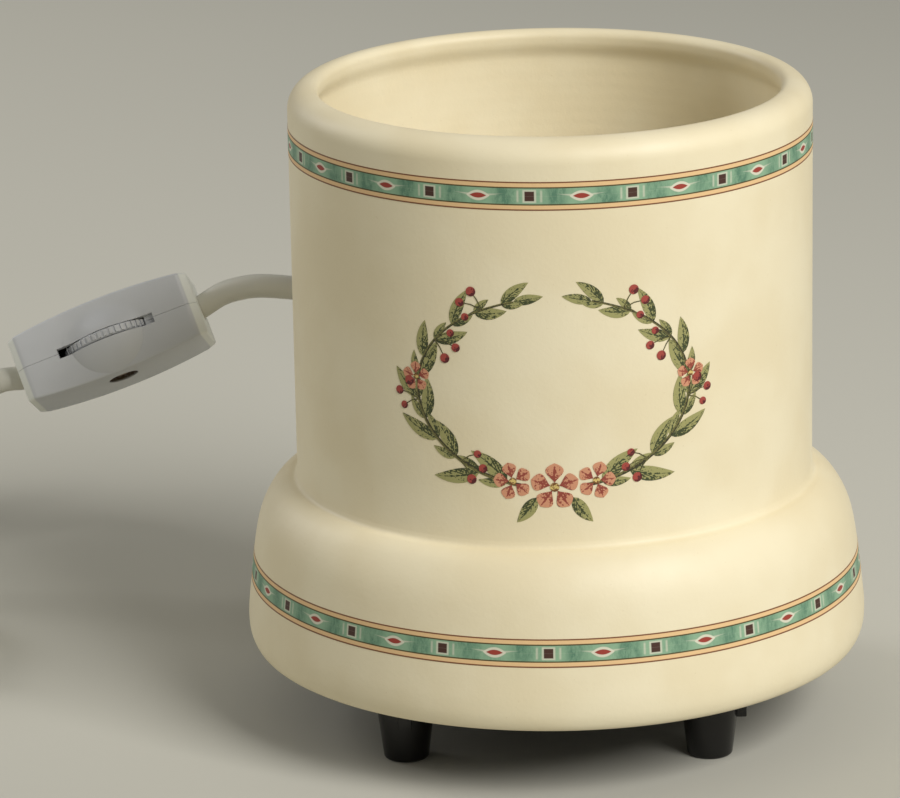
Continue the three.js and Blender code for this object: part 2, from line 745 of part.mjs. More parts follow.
// Wires inside the pot
function makeWires() {
  const inlet = BLOCK.x - BLOCK.length / 2;
  const outlet = BLOCK.x + BLOCK.length / 2;
  const halfWay = BLOCK.waySpacing / 2;
  const supply = [
    ["supply_wire_live", 1, "brownCore"],
    ["supply_wire_neutral", -1, "blueCore"],
  ];
  for (const [name, side, material] of supply) {
    const wayY = BLOCK.y + side * halfWay;
    const points = [
      reliefPoint(reliefInner - SEAT_GAP, side * LEAD.coreOffset),
      reliefPoint(reliefInner - WIRE.stub, side * LEAD.coreOffset),
      [inlet - WIRE.loop, wayY + WIRE.lean, (RELIEF.z + wayZ) / 2],
      [inlet - WIRE.loop, wayY, wayZ + WIRE.loop],
      [inlet - WIRE.stub, wayY, wayZ],
      [inlet + WIRE.bite, wayY, wayZ],
    ];
    add(name, tube(points, LEAD.coreRadius, LEAD.coreSides, 18), material);
  }

  const turn = rad(SHIELD.wireTurnDeg);
  const holeX = windowReach * Math.cos(turn);
  const holeY = windowReach * Math.sin(turn);
  const fuseZ = clampBottom - SEAT_GAP - FUSE.radius;
  const tabY = TAB.spacing / 2 + TAB.thickness / 2 + SEAT_GAP + LEAD.coreRadius;
  const fuseEnd = FUSE.length / 2 + FUSE.tip + SEAT_GAP;
  const live = [
    [outlet - WIRE.bite, BLOCK.y + halfWay, wayZ],
    [outlet + WIRE.stub, BLOCK.y + halfWay, wayZ],
    [outlet + WIRE.swing, BLOCK.y + halfWay, wayZ + WIRE.rise],
    [holeX, holeY, SHIELD.z - WIRE.loop],
    [holeX, holeY, SHIELD.z + SHIELD.thickness],
    [holeX - WIRE.lean, holeY - WIRE.stub / 2, fuseZ],
    [fuseReach, fuseEnd + WIRE.stub, fuseZ],
    [fuseReach, fuseEnd, fuseZ],
  ];
  add("heater_wire_live", tube(live, LEAD.coreRadius, LEAD.coreSides, 24), "sleeve");
  const neutral = [
    [outlet - WIRE.bite, BLOCK.y - halfWay, wayZ],
    [outlet + WIRE.stub, BLOCK.y - halfWay, wayZ],
    [(outlet + holeX) / 2, 0, (wayZ + SHIELD.z) / 2],
    [holeX, -holeY, SHIELD.z - WIRE.loop],
    [holeX, -holeY, SHIELD.z + SHIELD.thickness],
    [windowReach, -tabY - WIRE.stub, fuseZ],
    [windowReach, -tabY + LEAD.coreRadius, fuseZ],
  ];
  add("heater_wire_neutral", tube(neutral, LEAD.coreRadius, LEAD.coreSides, 24), "sleeve");
  const link = [
    [fuseReach, -FUSE.length / 2 - SEAT_GAP, fuseZ],
    [fuseReach, -FUSE.length / 2 - WIRE.stub / 2, fuseZ],
    [fuseReach + WIRE.stub, -FUSE.length / 2, fuseZ],
    [windowReach - TAB.length / 2 - WIRE.stub, 0, fuseZ],
    [windowReach, TAB.spacing / 2 - TAB.thickness / 2 - SEAT_GAP - LEAD.coreRadius, fuseZ],
  ];
  add("fuse_link_wire", tube(link, LEAD.coreRadius, LEAD.coreSides, 8), "sleeve");
}

// Thumbwheel switch, built flat in its own frame: X along the lead, -Y the wheel's side
const switchStation = new THREE.Group();
switchStation.rotation.set(rad(SWITCH.rollDeg), rad(-SWITCH.slopeDeg), rad(SWITCH.yawDeg), "ZYX");
switchStation.position.set(SWITCH.x, SWITCH.y, SWITCH.z);
switchStation.updateMatrixWorld(true);
candleWarmer.add(switchStation);

const halfSwitch = SWITCH.length / 2;
const switchFloor = SWITCH.wall - SWITCH.endThickness / 2;
const bayEnd = halfSwitch - SWITCH.entryDepth;
const wheelTop = WHEEL.thickness / 2;
const contactTop = wheelTop + SEAT_GAP + CONTACT.thickness;
const postTop = contactTop + SEAT_GAP;
const switchNutBottom = postTop + SEAT_GAP;

function switchPoint(x, y, z) {
  return new THREE.Vector3(x, y, z).applyMatrix4(switchStation.matrixWorld).toArray();
}

// Outline with bowed long sides and cut corners
function bowedOutline(half, bow) {
  const shape = new THREE.Shape();
  const inner = halfSwitch - SWITCH.chamfer;
  for (const side of [-1, 1]) {
    for (let i = 0; i <= SWITCH.archSteps; i += 1) {
      const along = side * inner * ((2 * i) / SWITCH.archSteps - 1);
      const reach = half + bow * (1 - (along / halfSwitch) ** 2);
      if (side < 0 && i === 0) shape.moveTo(-along, side * reach);
      else shape.lineTo(-along, side * reach);
      if (i === SWITCH.archSteps) shape.lineTo(-side * halfSwitch, side * (half - SWITCH.chamfer));
    }
    shape.lineTo(-side * halfSwitch, -side * (half - SWITCH.chamfer));
  }
  shape.closePath();
  return shape;
}

function across(geometry) {
  return geometry.rotateX(Math.PI / 2);
}

function wheelPlace(geometry) {
  return geometry.translate(0, -WHEEL.offset, 0);
}

// Low dome on the case's front, a cap of a ball that covers the wheel
function wheelDome() {
  const start = Math.acos(DOME.root / DOME.radius);
  const profile = [[0, DOME.root]];
  for (let i = DOME.steps; i >= 0; i -= 1) {
    const turn = (start * i) / DOME.steps;
    profile.push([DOME.radius * Math.sin(turn), DOME.radius * Math.cos(turn)]);
  }
  return across(turned(profile, 40)).translate(0, DOME.shift, 0);
}

function switchBody() {
  const height = SWITCH.endThickness + 2 * SWITCH.crown + 2 * OVERRUN;
  const depth = SWITCH.width + 2 * SWITCH.sideBulge + 2 * OVERRUN;
  const plan = plateOf(bowedOutline(SWITCH.width / 2, SWITCH.sideBulge), height);
  const side = plateOf(bowedOutline(SWITCH.endThickness / 2, SWITCH.crown), depth);
  let body = solid(plan.translate(0, 0, -height / 2));
  body = body.intersect(solid(across(side.translate(0, 0, -depth / 2))));
  const front = SWITCH.frontWall - SWITCH.width / 2;
  const back = SWITCH.width / 2 - SWITCH.wall;
  const cavity = block(2 * bayEnd, back - front, -2 * switchFloor).translate(0, (front + back) / 2, 0);
  body = body.subtract(solid(cavity));
  const entry = rod(LEAD.radius + SEAT_GAP, -halfSwitch - OVERRUN, halfSwitch + OVERRUN, 16);
  body = body.subtract(solid(entry.rotateY(Math.PI / 2)));
  body = body.add(solid(wheelDome()));
  const slotHeight = WHEEL.thickness + 2 * RUN_GAP;
  const room = rod(WHEEL.radius + RUN_GAP, -slotHeight / 2, slotHeight / 2, 48);
  body = body.subtract(solid(wheelPlace(room)));
  const slotReach = DOME.radius - SWITCH.width / 2 + WHEEL.slotDepth;
  const slot = block(WHEEL.slotLength, slotReach, slotHeight);
  return body.subtract(solid(slot.translate(0, slotReach / 2 - DOME.radius, 0)));
}

function halfSpace(side) {
  const size = 2 * SWITCH.length;
  const middle = side * (size / 2 + SEAT_GAP / 2);
  return solid(block(size, size, size).translate(0, 0, middle));
}

function makeSwitchShells() {
  const body = switchBody();
  let lower = body.intersect(halfSpace(-1));
  const overlap = SWITCH.wall / 2;
  lower = lower.add(solid(wheelPlace(rod(POST.radius, switchFloor - overlap, postTop, 20))));
  const collarTop = -wheelTop - SEAT_GAP;
  lower = lower.add(solid(wheelPlace(rod(POST.collarRadius, switchFloor - overlap, collarTop, 20))));
  const bottom = -SWITCH.endThickness / 2 - SWITCH.crown;
  const bore = rod(SWITCH_SCREW.radius + SEAT_GAP, bottom - OVERRUN, postTop + OVERRUN, 12);
  lower = lower.subtract(solid(wheelPlace(bore)));
  const recess = rod(SWITCH_SCREW.holeRadius, bottom - OVERRUN, bottom + SWITCH_SCREW.holeDepth, 20);
  lower = lower.subtract(solid(wheelPlace(recess)));
  add("switch_lower_shell", shell(lower), "whitePlastic", switchStation);

  let upper = body.intersect(halfSpace(1));
  const boss = rod(SWITCH_NUT.bossRadius, switchNutBottom, overlap - switchFloor, 20);
  upper = upper.add(solid(wheelPlace(boss)));
  const pocketHeight = SWITCH_NUT.height + SEAT_GAP;
  const pocket = plateOf(hexagon(SWITCH_NUT.acrossFlats + 2 * SEAT_GAP), pocketHeight + OVERRUN);
  upper = upper.subtract(solid(wheelPlace(pocket.translate(0, 0, switchNutBottom - OVERRUN))));
  add("switch_upper_shell", shell(upper), "whitePlastic", switchStation);
}

function ribbedOutline() {
  const shape = new THREE.Shape();
  const corners = [WHEEL.radius - WHEEL.ribDepth, WHEEL.radius, WHEEL.radius, WHEEL.radius - WHEEL.ribDepth];
  for (let i = 0; i < 4 * WHEEL.ribs; i += 1) {
    const angle = (Math.PI * i) / (2 * WHEEL.ribs);
    const place = [corners[i % 4] * Math.cos(angle), corners[i % 4] * Math.sin(angle)];
    if (i === 0) shape.moveTo(...place);
    else shape.lineTo(...place);
  }
  shape.closePath();
  return shape;
}

function makeWheel() {
  const bore = POST.radius + RUN_GAP;
  const outline = ribbedOutline();
  outline.holes.push(new THREE.Path().absarc(0, 0, bore, 0, 2 * Math.PI, true));
  let wheel = solid(plateOf(outline, WHEEL.thickness).translate(0, 0, -wheelTop));
  let contact = solid(rod(CONTACT.radius, wheelTop + SEAT_GAP, contactTop, 16));
  for (let i = 0; i < CONTACT.lobes; i += 1) {
    const lobe = rod(CONTACT.lobeRadius, wheelTop + SEAT_GAP, contactTop, 8).translate(CONTACT.radius, 0, 0);
    contact = contact.add(solid(lobe.rotateZ((2 * Math.PI * i) / CONTACT.lobes)));
  }
  contact = contact.subtract(solid(rod(bore, -OVERRUN, contactTop + OVERRUN, 14)));
  for (const side of [-1, 1]) {
    const peg = rod(WHEEL.pegRadius, wheelTop - WHEEL.thickness / 2, contactTop, 10);
    wheel = wheel.add(solid(peg.translate(side * WHEEL.pegReach, 0, 0)));
    const hole = rod(WHEEL.pegRadius + SEAT_GAP, wheelTop, contactTop + OVERRUN, 10);
    contact = contact.subtract(solid(hole.translate(side * WHEEL.pegReach, 0, 0)));
  }
  add("thumb_wheel", wheelPlace(shell(wheel)), "whitePlastic", switchStation);
  add("contact_disc", wheelPlace(shell(contact)), "brass", switchStation);
}

function makeSwitchFixings() {
  const headTop = SWITCH_SCREW.holeDepth - SWITCH.endThickness / 2 - SWITCH.crown - SEAT_GAP;
  const nutTop = switchNutBottom + SWITCH_NUT.height;
  const profile = [
    [0, headTop - SWITCH_SCREW.headHeight],
    [SWITCH_SCREW.headRadius - SWITCH_SCREW.headHeight / 2, headTop - SWITCH_SCREW.headHeight],
    [SWITCH_SCREW.headRadius, headTop - SWITCH_SCREW.headHeight / 2],
    [SWITCH_SCREW.headRadius, headTop],
    [SWITCH_SCREW.radius, headTop],
    [SWITCH_SCREW.radius, nutTop],
    [0, nutTop],
  ];
  add("switch_screw", wheelPlace(turned(profile, 14)), "steel", switchStation);
  const nutBore = SWITCH_SCREW.radius + SEAT_GAP / 2;
  const nut = hexNut(SWITCH_NUT.acrossFlats, SWITCH_NUT.height, nutBore, switchNutBottom);
  add("switch_nut", wheelPlace(nut), "steel", switchStation);
}

// Spring contacts: strips that reach over the contact disc and stand against the roof
function makeSprings() {
  const low = contactTop + SEAT_GAP;
  const roof = -switchFloor - SEAT_GAP;
  const tip = SWITCH_NUT.bossRadius + SEAT_GAP;
  const end = tip + SPRING.length;
  for (const [name, side] of [
    ["contact_spring_right", 1],
    ["contact_spring_left", -1],
  ]) {
    const shape = new THREE.Shape();
    shape.moveTo(tip, low);
    shape.lineTo(end, low);
    shape.lineTo(end, roof);
    shape.lineTo(end - SPRING.thickness, roof);
    shape.lineTo(end - SPRING.thickness, low + SPRING.thickness);
    shape.lineTo(tip, low + SPRING.thickness);
    shape.closePath();
    const strip = across(plateOf(shape, SPRING.width).translate(0, 0, -SPRING.width / 2));
    if (side < 0) strip.rotateZ(Math.PI);
    add(name, wheelPlace(strip), "brass", switchStation);
  }
}

// Cores inside the switch: the neutral runs through, the live is cut and meets the springs
const NEUTRAL_ROUTE = [
  [17, 2.5, -0.8],
  [11, 6.6, -3.6],
  [0, 7.4, -4.2],
];
const LIVE_ROUTE = [
  [19.4, -1.6, 0],
  [17.6, -2.2, 1.4],
  [16.2, -2.9, 3.6],
];

function makeSwitchCores() {
  const start = bayEnd - SEAT_GAP;
  const right = [[start, LEAD.coreOffset, 0], ...NEUTRAL_ROUTE];
  const left = right.slice(0, -1).reverse();
  const neutral = [...right, ...left.map(([x, y, z]) => [-x, y, z])];
  add("switch_neutral_core", tube(neutral, LEAD.coreRadius, LEAD.coreSides, 16), "blueCore", switchStation);
  const footZ = (contactTop - switchFloor) / 2;
  const meet = SWITCH_NUT.bossRadius + 3 * SEAT_GAP + SPRING.length;
  for (const [name, side] of [
    ["switch_live_core_right", 1],
    ["switch_live_core_left", -1],
  ]) {
    const route = [[start, -LEAD.coreOffset, 0], ...LIVE_ROUTE, [meet, -WHEEL.offset, footZ]];
    const points = route.map(([x, y, z]) => [side * x, y, z]);
    add(name, tube(points, LEAD.coreRadius, LEAD.coreSides, 6), "brownCore", switchStation);
  }
}

function makeSwitch() {
  makeSwitchShells();
  makeWheel();
  makeSwitchFixings();
  makeSprings();
  makeSwitchCores();
}

// Coil: in along the bottom layer, up a layer at the inside, out again along the top
const coilTurns = COIL.turns / 2;
const coilOuter = COIL.innerRadius + coilTurns * COIL.pitch;
const coilLow = TIE.thickness + SEAT_GAP + LEAD.radius;
const coilLeft = COIL.x - coilOuter;
const leadStub = 2 * LEAD.radius;

function coilCentres() {
  const centres = [new THREE.Vector3(coilLeft, COIL.y + leadStub, coilLow)];
  for (let i = 0; i <= COIL.turns * COIL.steps; i += 1) {
    const turn = i / COIL.steps;
    const fromMiddle = turn - coilTurns;
    const radius = COIL.innerRadius + COIL.pitch * Math.abs(fromMiddle);
    const climb = THREE.MathUtils.smoothstep(fromMiddle, -COIL.climbTurns, COIL.climbTurns);
    const angle = Math.PI * (1 + 2 * turn);
    centres.push(
      new THREE.Vector3(
        COIL.x + radius * Math.cos(angle),
        COIL.y + radius * Math.sin(angle),
        coilLow + COIL.layerRise * climb,
      ),
    );
  }
  centres.push(new THREE.Vector3(coilLeft, COIL.y - leadStub, coilLow + COIL.layerRise));
  return centres;
}

// Rings round the centreline, joined into one closed skin
function coilGeometry(centres) {
  const positions = [];
  const faces = [];
  const up = new THREE.Vector3(0, 0, 1);
  centres.forEach((centre, i) => {
    const before = centres[Math.max(i - 1, 0)];
    const after = centres[Math.min(i + 1, centres.length - 1)];
    const ahead = new THREE.Vector3().subVectors(after, before).normalize();
    const out = new THREE.Vector3().crossVectors(up, ahead).normalize();
    const top = new THREE.Vector3().crossVectors(ahead, out);
    for (let j = 0; j < COIL.sides; j += 1) {
      const angle = (2 * Math.PI * j) / COIL.sides;
      const point = centre
        .clone()
        .addScaledVector(out, LEAD.radius * Math.cos(angle))
        .addScaledVector(top, LEAD.radius * Math.sin(angle));
      positions.push(...point.toArray());
    }
  });
  for (let i = 0; i < centres.length - 1; i += 1) {
    for (let j = 0; j < COIL.sides; j += 1) {
      const next = (j + 1) % COIL.sides;
      const here = i * COIL.sides;
      const there = here + COIL.sides;
      faces.push(here + j, here + next, there + next);
      faces.push(here + j, there + next, there + j);
    }
  }
  const last = (centres.length - 1) * COIL.sides;
  for (let j = 1; j < COIL.sides - 1; j += 1) {
    faces.push(0, j + 1, j);
    faces.push(last, last + j, last + j + 1);
  }
  const geometry = new THREE.BufferGeometry();
  geometry.setAttribute("position", new THREE.Float32BufferAttribute(positions, 3));
  geometry.setIndex(faces);
  geometry.computeVertexNormals();
  return geometry;
}

// Least space between stretches of the coil that are at least half a turn apart
function coilGap(centres) {
  let least = Infinity;
  for (let i = 0; i < centres.length; i += 1) {
    for (let j = i + COIL.steps / 2; j < centres.length - 1; j += 1) {
      const side = new THREE.Line3(centres[j], centres[j + 1]);
      const near = side.closestPointToPoint(centres[i], true, new THREE.Vector3());
      least = Math.min(least, near.distanceTo(centres[i]) - 2 * LEAD.radius);
    }
  }
  return least;
}

function lengthOf(centres) {
  return centres.slice(1).reduce((sum, centre, i) => sum + centre.distanceTo(centres[i]), 0);
}

const centresOfCoil = coilCentres();

function makeCoil() {
  add("lead_coil", coilGeometry(centresOfCoil), "leadSheath");
  console.log("least gap of the coil to itself", coilGap(centresOfCoil).toFixed(2), "mm");
  console.log("length of the coil", lengthOf(centresOfCoil).toFixed(0), "mm");
}

// Tie round all turns of the coil, measured on the turns that it holds
function makeTie() {
  const angle = rad(TIE.angleDeg);
  const reach = new THREE.Vector3(Math.cos(angle), Math.sin(angle), 0);
  const along = new THREE.Vector3(-reach.y, reach.x, 0);
  const middle = new THREE.Vector3(COIL.x, COIL.y, 0);
  let near = Infinity;
  let far = -Infinity;
  for (const centre of centresOfCoil) {
    const from = new THREE.Vector3().subVectors(centre, middle);
    const inReach = from.dot(reach);
    const stepLength = (2 * Math.PI * coilOuter) / COIL.steps;
    if (inReach < 0 || Math.abs(from.dot(along)) > TIE.width / 2 + stepLength / 2) continue;
    near = Math.min(near, inReach);
    far = Math.max(far, from.length());
  }
  const room = LEAD.radius + SEAT_GAP;
  const low = coilLow - room;
  const high = coilLow + COIL.layerRise + room;
  const outer = roundedBox(near - room - TIE.thickness, far + room + TIE.thickness, 0, high + TIE.thickness);
  const inner = roundedBox(near - room, far + room, low, high);
  outer.holes.push(inner);
  const band = across(plateOf(outer, TIE.width, 4).translate(0, 0, -TIE.width / 2)).rotateZ(angle);
  add("coil_tie", band.translate(COIL.x, COIL.y, 0), "blackPlastic");
}

function roundedBox(left, right, low, high) {
  const shape = new THREE.Shape();
  const corner = TIE.corner;
  shape.absarc(right - corner, high - corner, corner, 0, Math.PI / 2, false);
  shape.absarc(left + corner, high - corner, corner, Math.PI / 2, Math.PI, false);
  shape.absarc(left + corner, low + corner, corner, Math.PI, 1.5 * Math.PI, false);
  shape.absarc(right - corner, low + corner, corner, 1.5 * Math.PI, 2 * Math.PI, false);
  shape.closePath();
  return shape;
}

// Plug lying flat on the table, its blades away from the lead
const plugX = coilLeft - PLUG.sidestep;
const plugTip = COIL.y - leadStub - PLUG.standOff;
const plugRear = plugTip - PLUG.bootLength;
const plugZ = PLUG.thickness / 2;

function plugOutline(rearHalf, half) {
  const shape = new THREE.Shape();
  const shoulder = PLUG.length * PLUG.shoulderShare;
  shape.moveTo(0, -rearHalf);
  shape.lineTo(shoulder, -half);
  shape.lineTo(PLUG.length - PLUG.chamfer, -half);
  shape.lineTo(PLUG.length, PLUG.chamfer - half);
  shape.lineTo(PLUG.length, half - PLUG.chamfer);
  shape.lineTo(PLUG.length - PLUG.chamfer, half);
  shape.lineTo(shoulder, half);
  shape.lineTo(0, rearHalf);
  shape.closePath();
  return shape;
}

// From a frame whose X runs out along the blades to the plug's place
function plugPlace(geometry) {
  return geometry.rotateZ(-Math.PI / 2).translate(plugX, plugRear, plugZ);
}

function makePlug() {
  const plan = plateOf(plugOutline(PLUG.rearWidth / 2, PLUG.width / 2), PLUG.thickness + 2 * OVERRUN);
  const side = plateOf(plugOutline(PLUG.rearThickness / 2, PLUG.thickness / 2), PLUG.width + 2 * OVERRUN);
  plan.translate(0, 0, -PLUG.thickness / 2 - OVERRUN);
  let body = solid(plan).intersect(solid(across(side.translate(0, 0, -PLUG.width / 2 - OVERRUN))));
  const profile = [[0, -PLUG.bootLength]];
  const ribLength = PLUG.bootLength / (2 * PLUG.bootRibs);
  for (let i = 0; i < 2 * PLUG.bootRibs; i += 1) {
    const share = i / (2 * PLUG.bootRibs);
    const groove = i % 2 === 0 ? 0 : PLUG.ribDepth;
    const radius = THREE.MathUtils.lerp(PLUG.bootTip, PLUG.bootRadius, share) - groove;
    profile.push([radius, ribLength * i - PLUG.bootLength]);
    profile.push([radius, ribLength * (i + 1) - PLUG.bootLength]);
  }
  profile.push([PLUG.bootRadius, 0], [PLUG.bootRadius, PLUG.chamfer], [0, PLUG.chamfer]);
  body = body.add(solid(turned(profile, 16).rotateY(Math.PI / 2)));
  for (const place of [-1, 1]) {
    const slotLength = BLADE.root + SEAT_GAP + OVERRUN;
    const slot = block(slotLength, BLADE.thickness + 2 * SEAT_GAP, BLADE.width + 2 * SEAT_GAP);
    slot.translate(PLUG.length + OVERRUN - slotLength / 2, (place * BLADE.spacing) / 2, 0);
    body = body.subtract(solid(slot));
  }
  add("plug_body", plugPlace(shell(body)), "leadSheath");
}

function makeBlades() {
  const root = PLUG.length - BLADE.root;
  const tip = PLUG.length + BLADE.length;
  const half = BLADE.width / 2;
  const tipHalf = half * BLADE.tipShare;
  for (const [name, side] of [
    ["plug_blade_left", -1],
    ["plug_blade_right", 1],
  ]) {
    const shape = new THREE.Shape();
    shape.moveTo(root, -half);
    shape.lineTo(tip - BLADE.taper, -half);
    shape.lineTo(tip, -tipHalf);
    shape.lineTo(tip, tipHalf);
    shape.lineTo(tip - BLADE.taper, half);
    shape.lineTo(root, half);
    shape.closePath();
    const blade = across(plateOf(shape, BLADE.thickness).translate(0, 0, -BLADE.thickness / 2));
    add(name, plugPlace(blade.translate(0, (side * BLADE.spacing) / 2, 0)), "brass");
  }
}

// Leads: hand-chosen points between what each end meets
const TO_SWITCH_ROUTE = [
  [-35.6, 95.4, 78],
  [-44.5, 102.6, 77.8],
  [-56, 105, 77.5],
  [-67.8, 104.9, 77.2],
  [-77.2, 105, 76.3],
];
const FROM_SWITCH_ROUTE = [
  [-160.5, 104.7, 43.4],
  [-178, 102.6, 32],
  [-196, 97.6, 20.2],
  [-211, 89.4, 11],
  [-222.4, 78.2, 5.6],
  [-229.8, 66, 3.6],
  [-232.4, 55.6, 3.8],
];

function makeLeads() {
  const toSwitch = [
    reliefPoint(reliefTip + SEAT_GAP, 0),
    reliefPoint(reliefTip + leadStub, 0),
    ...TO_SWITCH_ROUTE,
    switchPoint(halfSwitch + leadStub, 0, 0),
    switchPoint(halfSwitch, 0, 0),
    switchPoint(bayEnd, 0, 0),
  ];
  addLead("lead_to_switch", toSwitch, 16);
  const fromSwitch = [
    switchPoint(-bayEnd, 0, 0),
    switchPoint(-halfSwitch, 0, 0),
    switchPoint(-halfSwitch - leadStub, 0, 0),
    ...FROM_SWITCH_ROUTE,
    [coilLeft, COIL.y + 2 * leadStub, coilLow],
    [coilLeft, COIL.y + leadStub + SEAT_GAP, coilLow],
  ];
  addLead("lead_from_switch", fromSwitch, 22);
  const high = coilLow + COIL.layerRise;
  const middleZ = THREE.MathUtils.lerp(high, plugZ, PLUG.dropShare);
  const toPlug = [
    [coilLeft, COIL.y - leadStub - SEAT_GAP, high],
    [coilLeft, COIL.y - 2 * leadStub, high],
    [(coilLeft + plugX) / 2, (COIL.y - leadStub + plugTip) / 2, middleZ],
    [plugX, plugTip + leadStub, plugZ],
    [plugX, plugTip + SEAT_GAP, plugZ],
  ];
  addLead("lead_to_plug", toPlug, 8);
}

function addLead(name, points, steps) {
  add(name, tube(points, LEAD.radius, LEAD.sides, steps), "leadSheath");
  const path = new THREE.CatmullRomCurve3(points.map((p) => new THREE.Vector3(...p)), false, "centripetal");
  console.log("length of", name, path.getLength().toFixed(0), "mm");
}

makePot();
makeHeater();
makeStud();
makeFuse();
makeCover();
makeFeet();
makeTerminalBlock();
makeRelief();
makeWires();
makeSwitch();
makeLeads();
makeCoil();
makeTie();
makePlug();
makeBlades();

export default candleWarmer;
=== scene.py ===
# %% [markdown]
# # An electric candle warmer
# The object is a cream ceramic pot on four black pegs. A metal plate deep in its
# mouth warms a jar of wax, and a thumbwheel switch sits on its lead. The solid
# parts come from a CAD model, packed as a frame that doesn't change. Here each
# part that shows gets a finer shape where it needs one, and a finish.
#
# ## Loading the frame
# Everything is in metres in the frame's own axes: Z is up, the table is at zero,
# and the pot's front faces minus Y.

# %% Load the frame
import bpy, bmesh, json, math
from mathutils import Euler, Matrix, Vector


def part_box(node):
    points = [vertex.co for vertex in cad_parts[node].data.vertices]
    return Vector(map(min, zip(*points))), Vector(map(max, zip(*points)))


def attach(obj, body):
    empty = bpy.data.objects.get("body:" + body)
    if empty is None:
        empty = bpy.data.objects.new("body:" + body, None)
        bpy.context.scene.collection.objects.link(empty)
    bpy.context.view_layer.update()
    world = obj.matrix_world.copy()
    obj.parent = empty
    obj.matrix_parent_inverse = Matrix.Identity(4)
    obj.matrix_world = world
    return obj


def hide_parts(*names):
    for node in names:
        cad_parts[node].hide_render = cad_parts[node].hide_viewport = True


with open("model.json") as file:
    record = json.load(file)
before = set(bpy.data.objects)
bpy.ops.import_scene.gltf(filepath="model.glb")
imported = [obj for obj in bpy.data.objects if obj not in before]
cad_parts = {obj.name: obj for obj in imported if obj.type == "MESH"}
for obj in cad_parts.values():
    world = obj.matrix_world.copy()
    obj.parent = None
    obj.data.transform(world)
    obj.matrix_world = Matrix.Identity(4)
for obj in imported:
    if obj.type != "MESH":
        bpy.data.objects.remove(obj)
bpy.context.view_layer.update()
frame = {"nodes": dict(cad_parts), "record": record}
nodes = frame["nodes"]
MM = 0.001

# %% [markdown]
# Every piece, light and lens comes into the scene in the same two moves: an object
# is made for its data, and is linked. A shape is built as a bmesh, which becomes a
# mesh and is freed.

# %% Helpers that fill the scene
def linked(name, data):
    made = bpy.data.objects.new(name, data)
    bpy.context.scene.collection.objects.link(made)
    return made

def mesh_of(bm, name):
    mesh = bpy.data.meshes.new(name)
    bm.to_mesh(mesh)
    bm.free()
    return mesh

# %% [markdown]
# ## The camera
# The printed circles round a pot show as ellipses, and their widths and heights
# say where the camera stood. It stood 1.16 m in front and looked down at about
# 17 degrees through a long lens. A lens's length in millimetres is its length in
# pixels times the sensor's width over the picture's width, here 900 pixels.

# %% Set the camera
PICTURE_WIDTH = 900
LENS_PIXELS = 5042.3
VIEW_PLACE = (0, -1.1613, 0.4239)
VIEW_FORWARD = Vector((-0.02054, 0.95811, -0.28567))
VIEW_UP = Vector((0.0133, 0.28597, 0.95815))

lens_data = bpy.data.cameras.new("camera")
lens_data.sensor_fit = "HORIZONTAL"
lens_data.sensor_width = 36
lens_data.lens = LENS_PIXELS * lens_data.sensor_width / PICTURE_WIDTH
camera = linked("camera", lens_data)
bpy.context.scene.camera = camera
side = VIEW_FORWARD.cross(VIEW_UP).normalized()
above = side.cross(VIEW_FORWARD).normalized()
turn = Matrix((side, above, -VIEW_FORWARD.normalized())).transposed()
camera.matrix_world = Matrix.Translation(VIEW_PLACE) @ turn.to_4x4()
bpy.context.scene.view_settings.view_transform = "Standard"
print("lens", round(lens_data.lens, 1), "mm")

# %% [markdown]
# ## Sums on shader sockets
# A material is a network of nodes, and a long sum made of Math nodes is hard to
# read. This small class wraps a number socket, so that `1 - mask * 0.5` in Python
# adds the nodes of that sum. A comparison gives a mask of 0 or 1, and a ramp rises
# smoothly from 0 to 1 between two values.

# %% A class for shader sums
class Amount:
    """A number that varies over a surface, and the operators that sums need."""

    def __init__(self, finish, socket):
        self.finish = finish
        self.socket = socket

    def sum(self, operation, *others):
        values = [self.socket] + [getattr(o, "socket", o) for o in others]
        node = self.finish.node("ShaderNodeMath", {"operation": operation}, values)
        return Amount(self.finish, node.outputs[0])

    def swapped(self, operation, first):
        node = self.finish.node("ShaderNodeMath", {"operation": operation}, [first, self.socket])
        return Amount(self.finish, node.outputs[0])

    def __add__(self, other): return self.sum("ADD", other)
    def __radd__(self, other): return self.sum("ADD", other)
    def __sub__(self, other): return self.sum("SUBTRACT", other)
    def __rsub__(self, other): return self.swapped("SUBTRACT", other)
    def __mul__(self, other): return self.sum("MULTIPLY", other)
    def __rmul__(self, other): return self.sum("MULTIPLY", other)
    def __truediv__(self, other): return self.sum("DIVIDE", other)
    def __rtruediv__(self, other): return self.swapped("DIVIDE", other)
    def __neg__(self): return self.sum("MULTIPLY", -1)
    def __abs__(self): return self.sum("ABSOLUTE")
    def __lt__(self, other): return self.sum("LESS_THAN", other)

    def least(self, other): return self.sum("MINIMUM", other)
    def most(self, other): return self.sum("MAXIMUM", other)
    def wrapped(self, low, high): return self.sum("WRAP", high, low)
    def sine(self): return self.sum("SINE")
    def root(self): return self.sum("SQRT")

    def ramp(self, low, high):
        settings = {"interpolation_type": "SMOOTHSTEP"}
        values = [self.socket, low, high, 0, 1]
        node = self.finish.node("ShaderNodeMapRange", settings, values)
        return Amount(self.finish, node.outputs[0])

# %% [markdown]
# ## A finish
# Each finish is one material with one glossy shader. Values that are the same all
# over are set on the shader's own sockets. What varies goes in through links:
# colour, roughness and the bump that turns the normal. The class holds the few
# moves that every finish here uses, and `node` makes any other node.

# %% A class for finishes
# A Mix node has its own sockets for each kind of data. These are the colour ones.
MIX_SOCKETS, MIX_RESULT = (0, 6, 7), 2

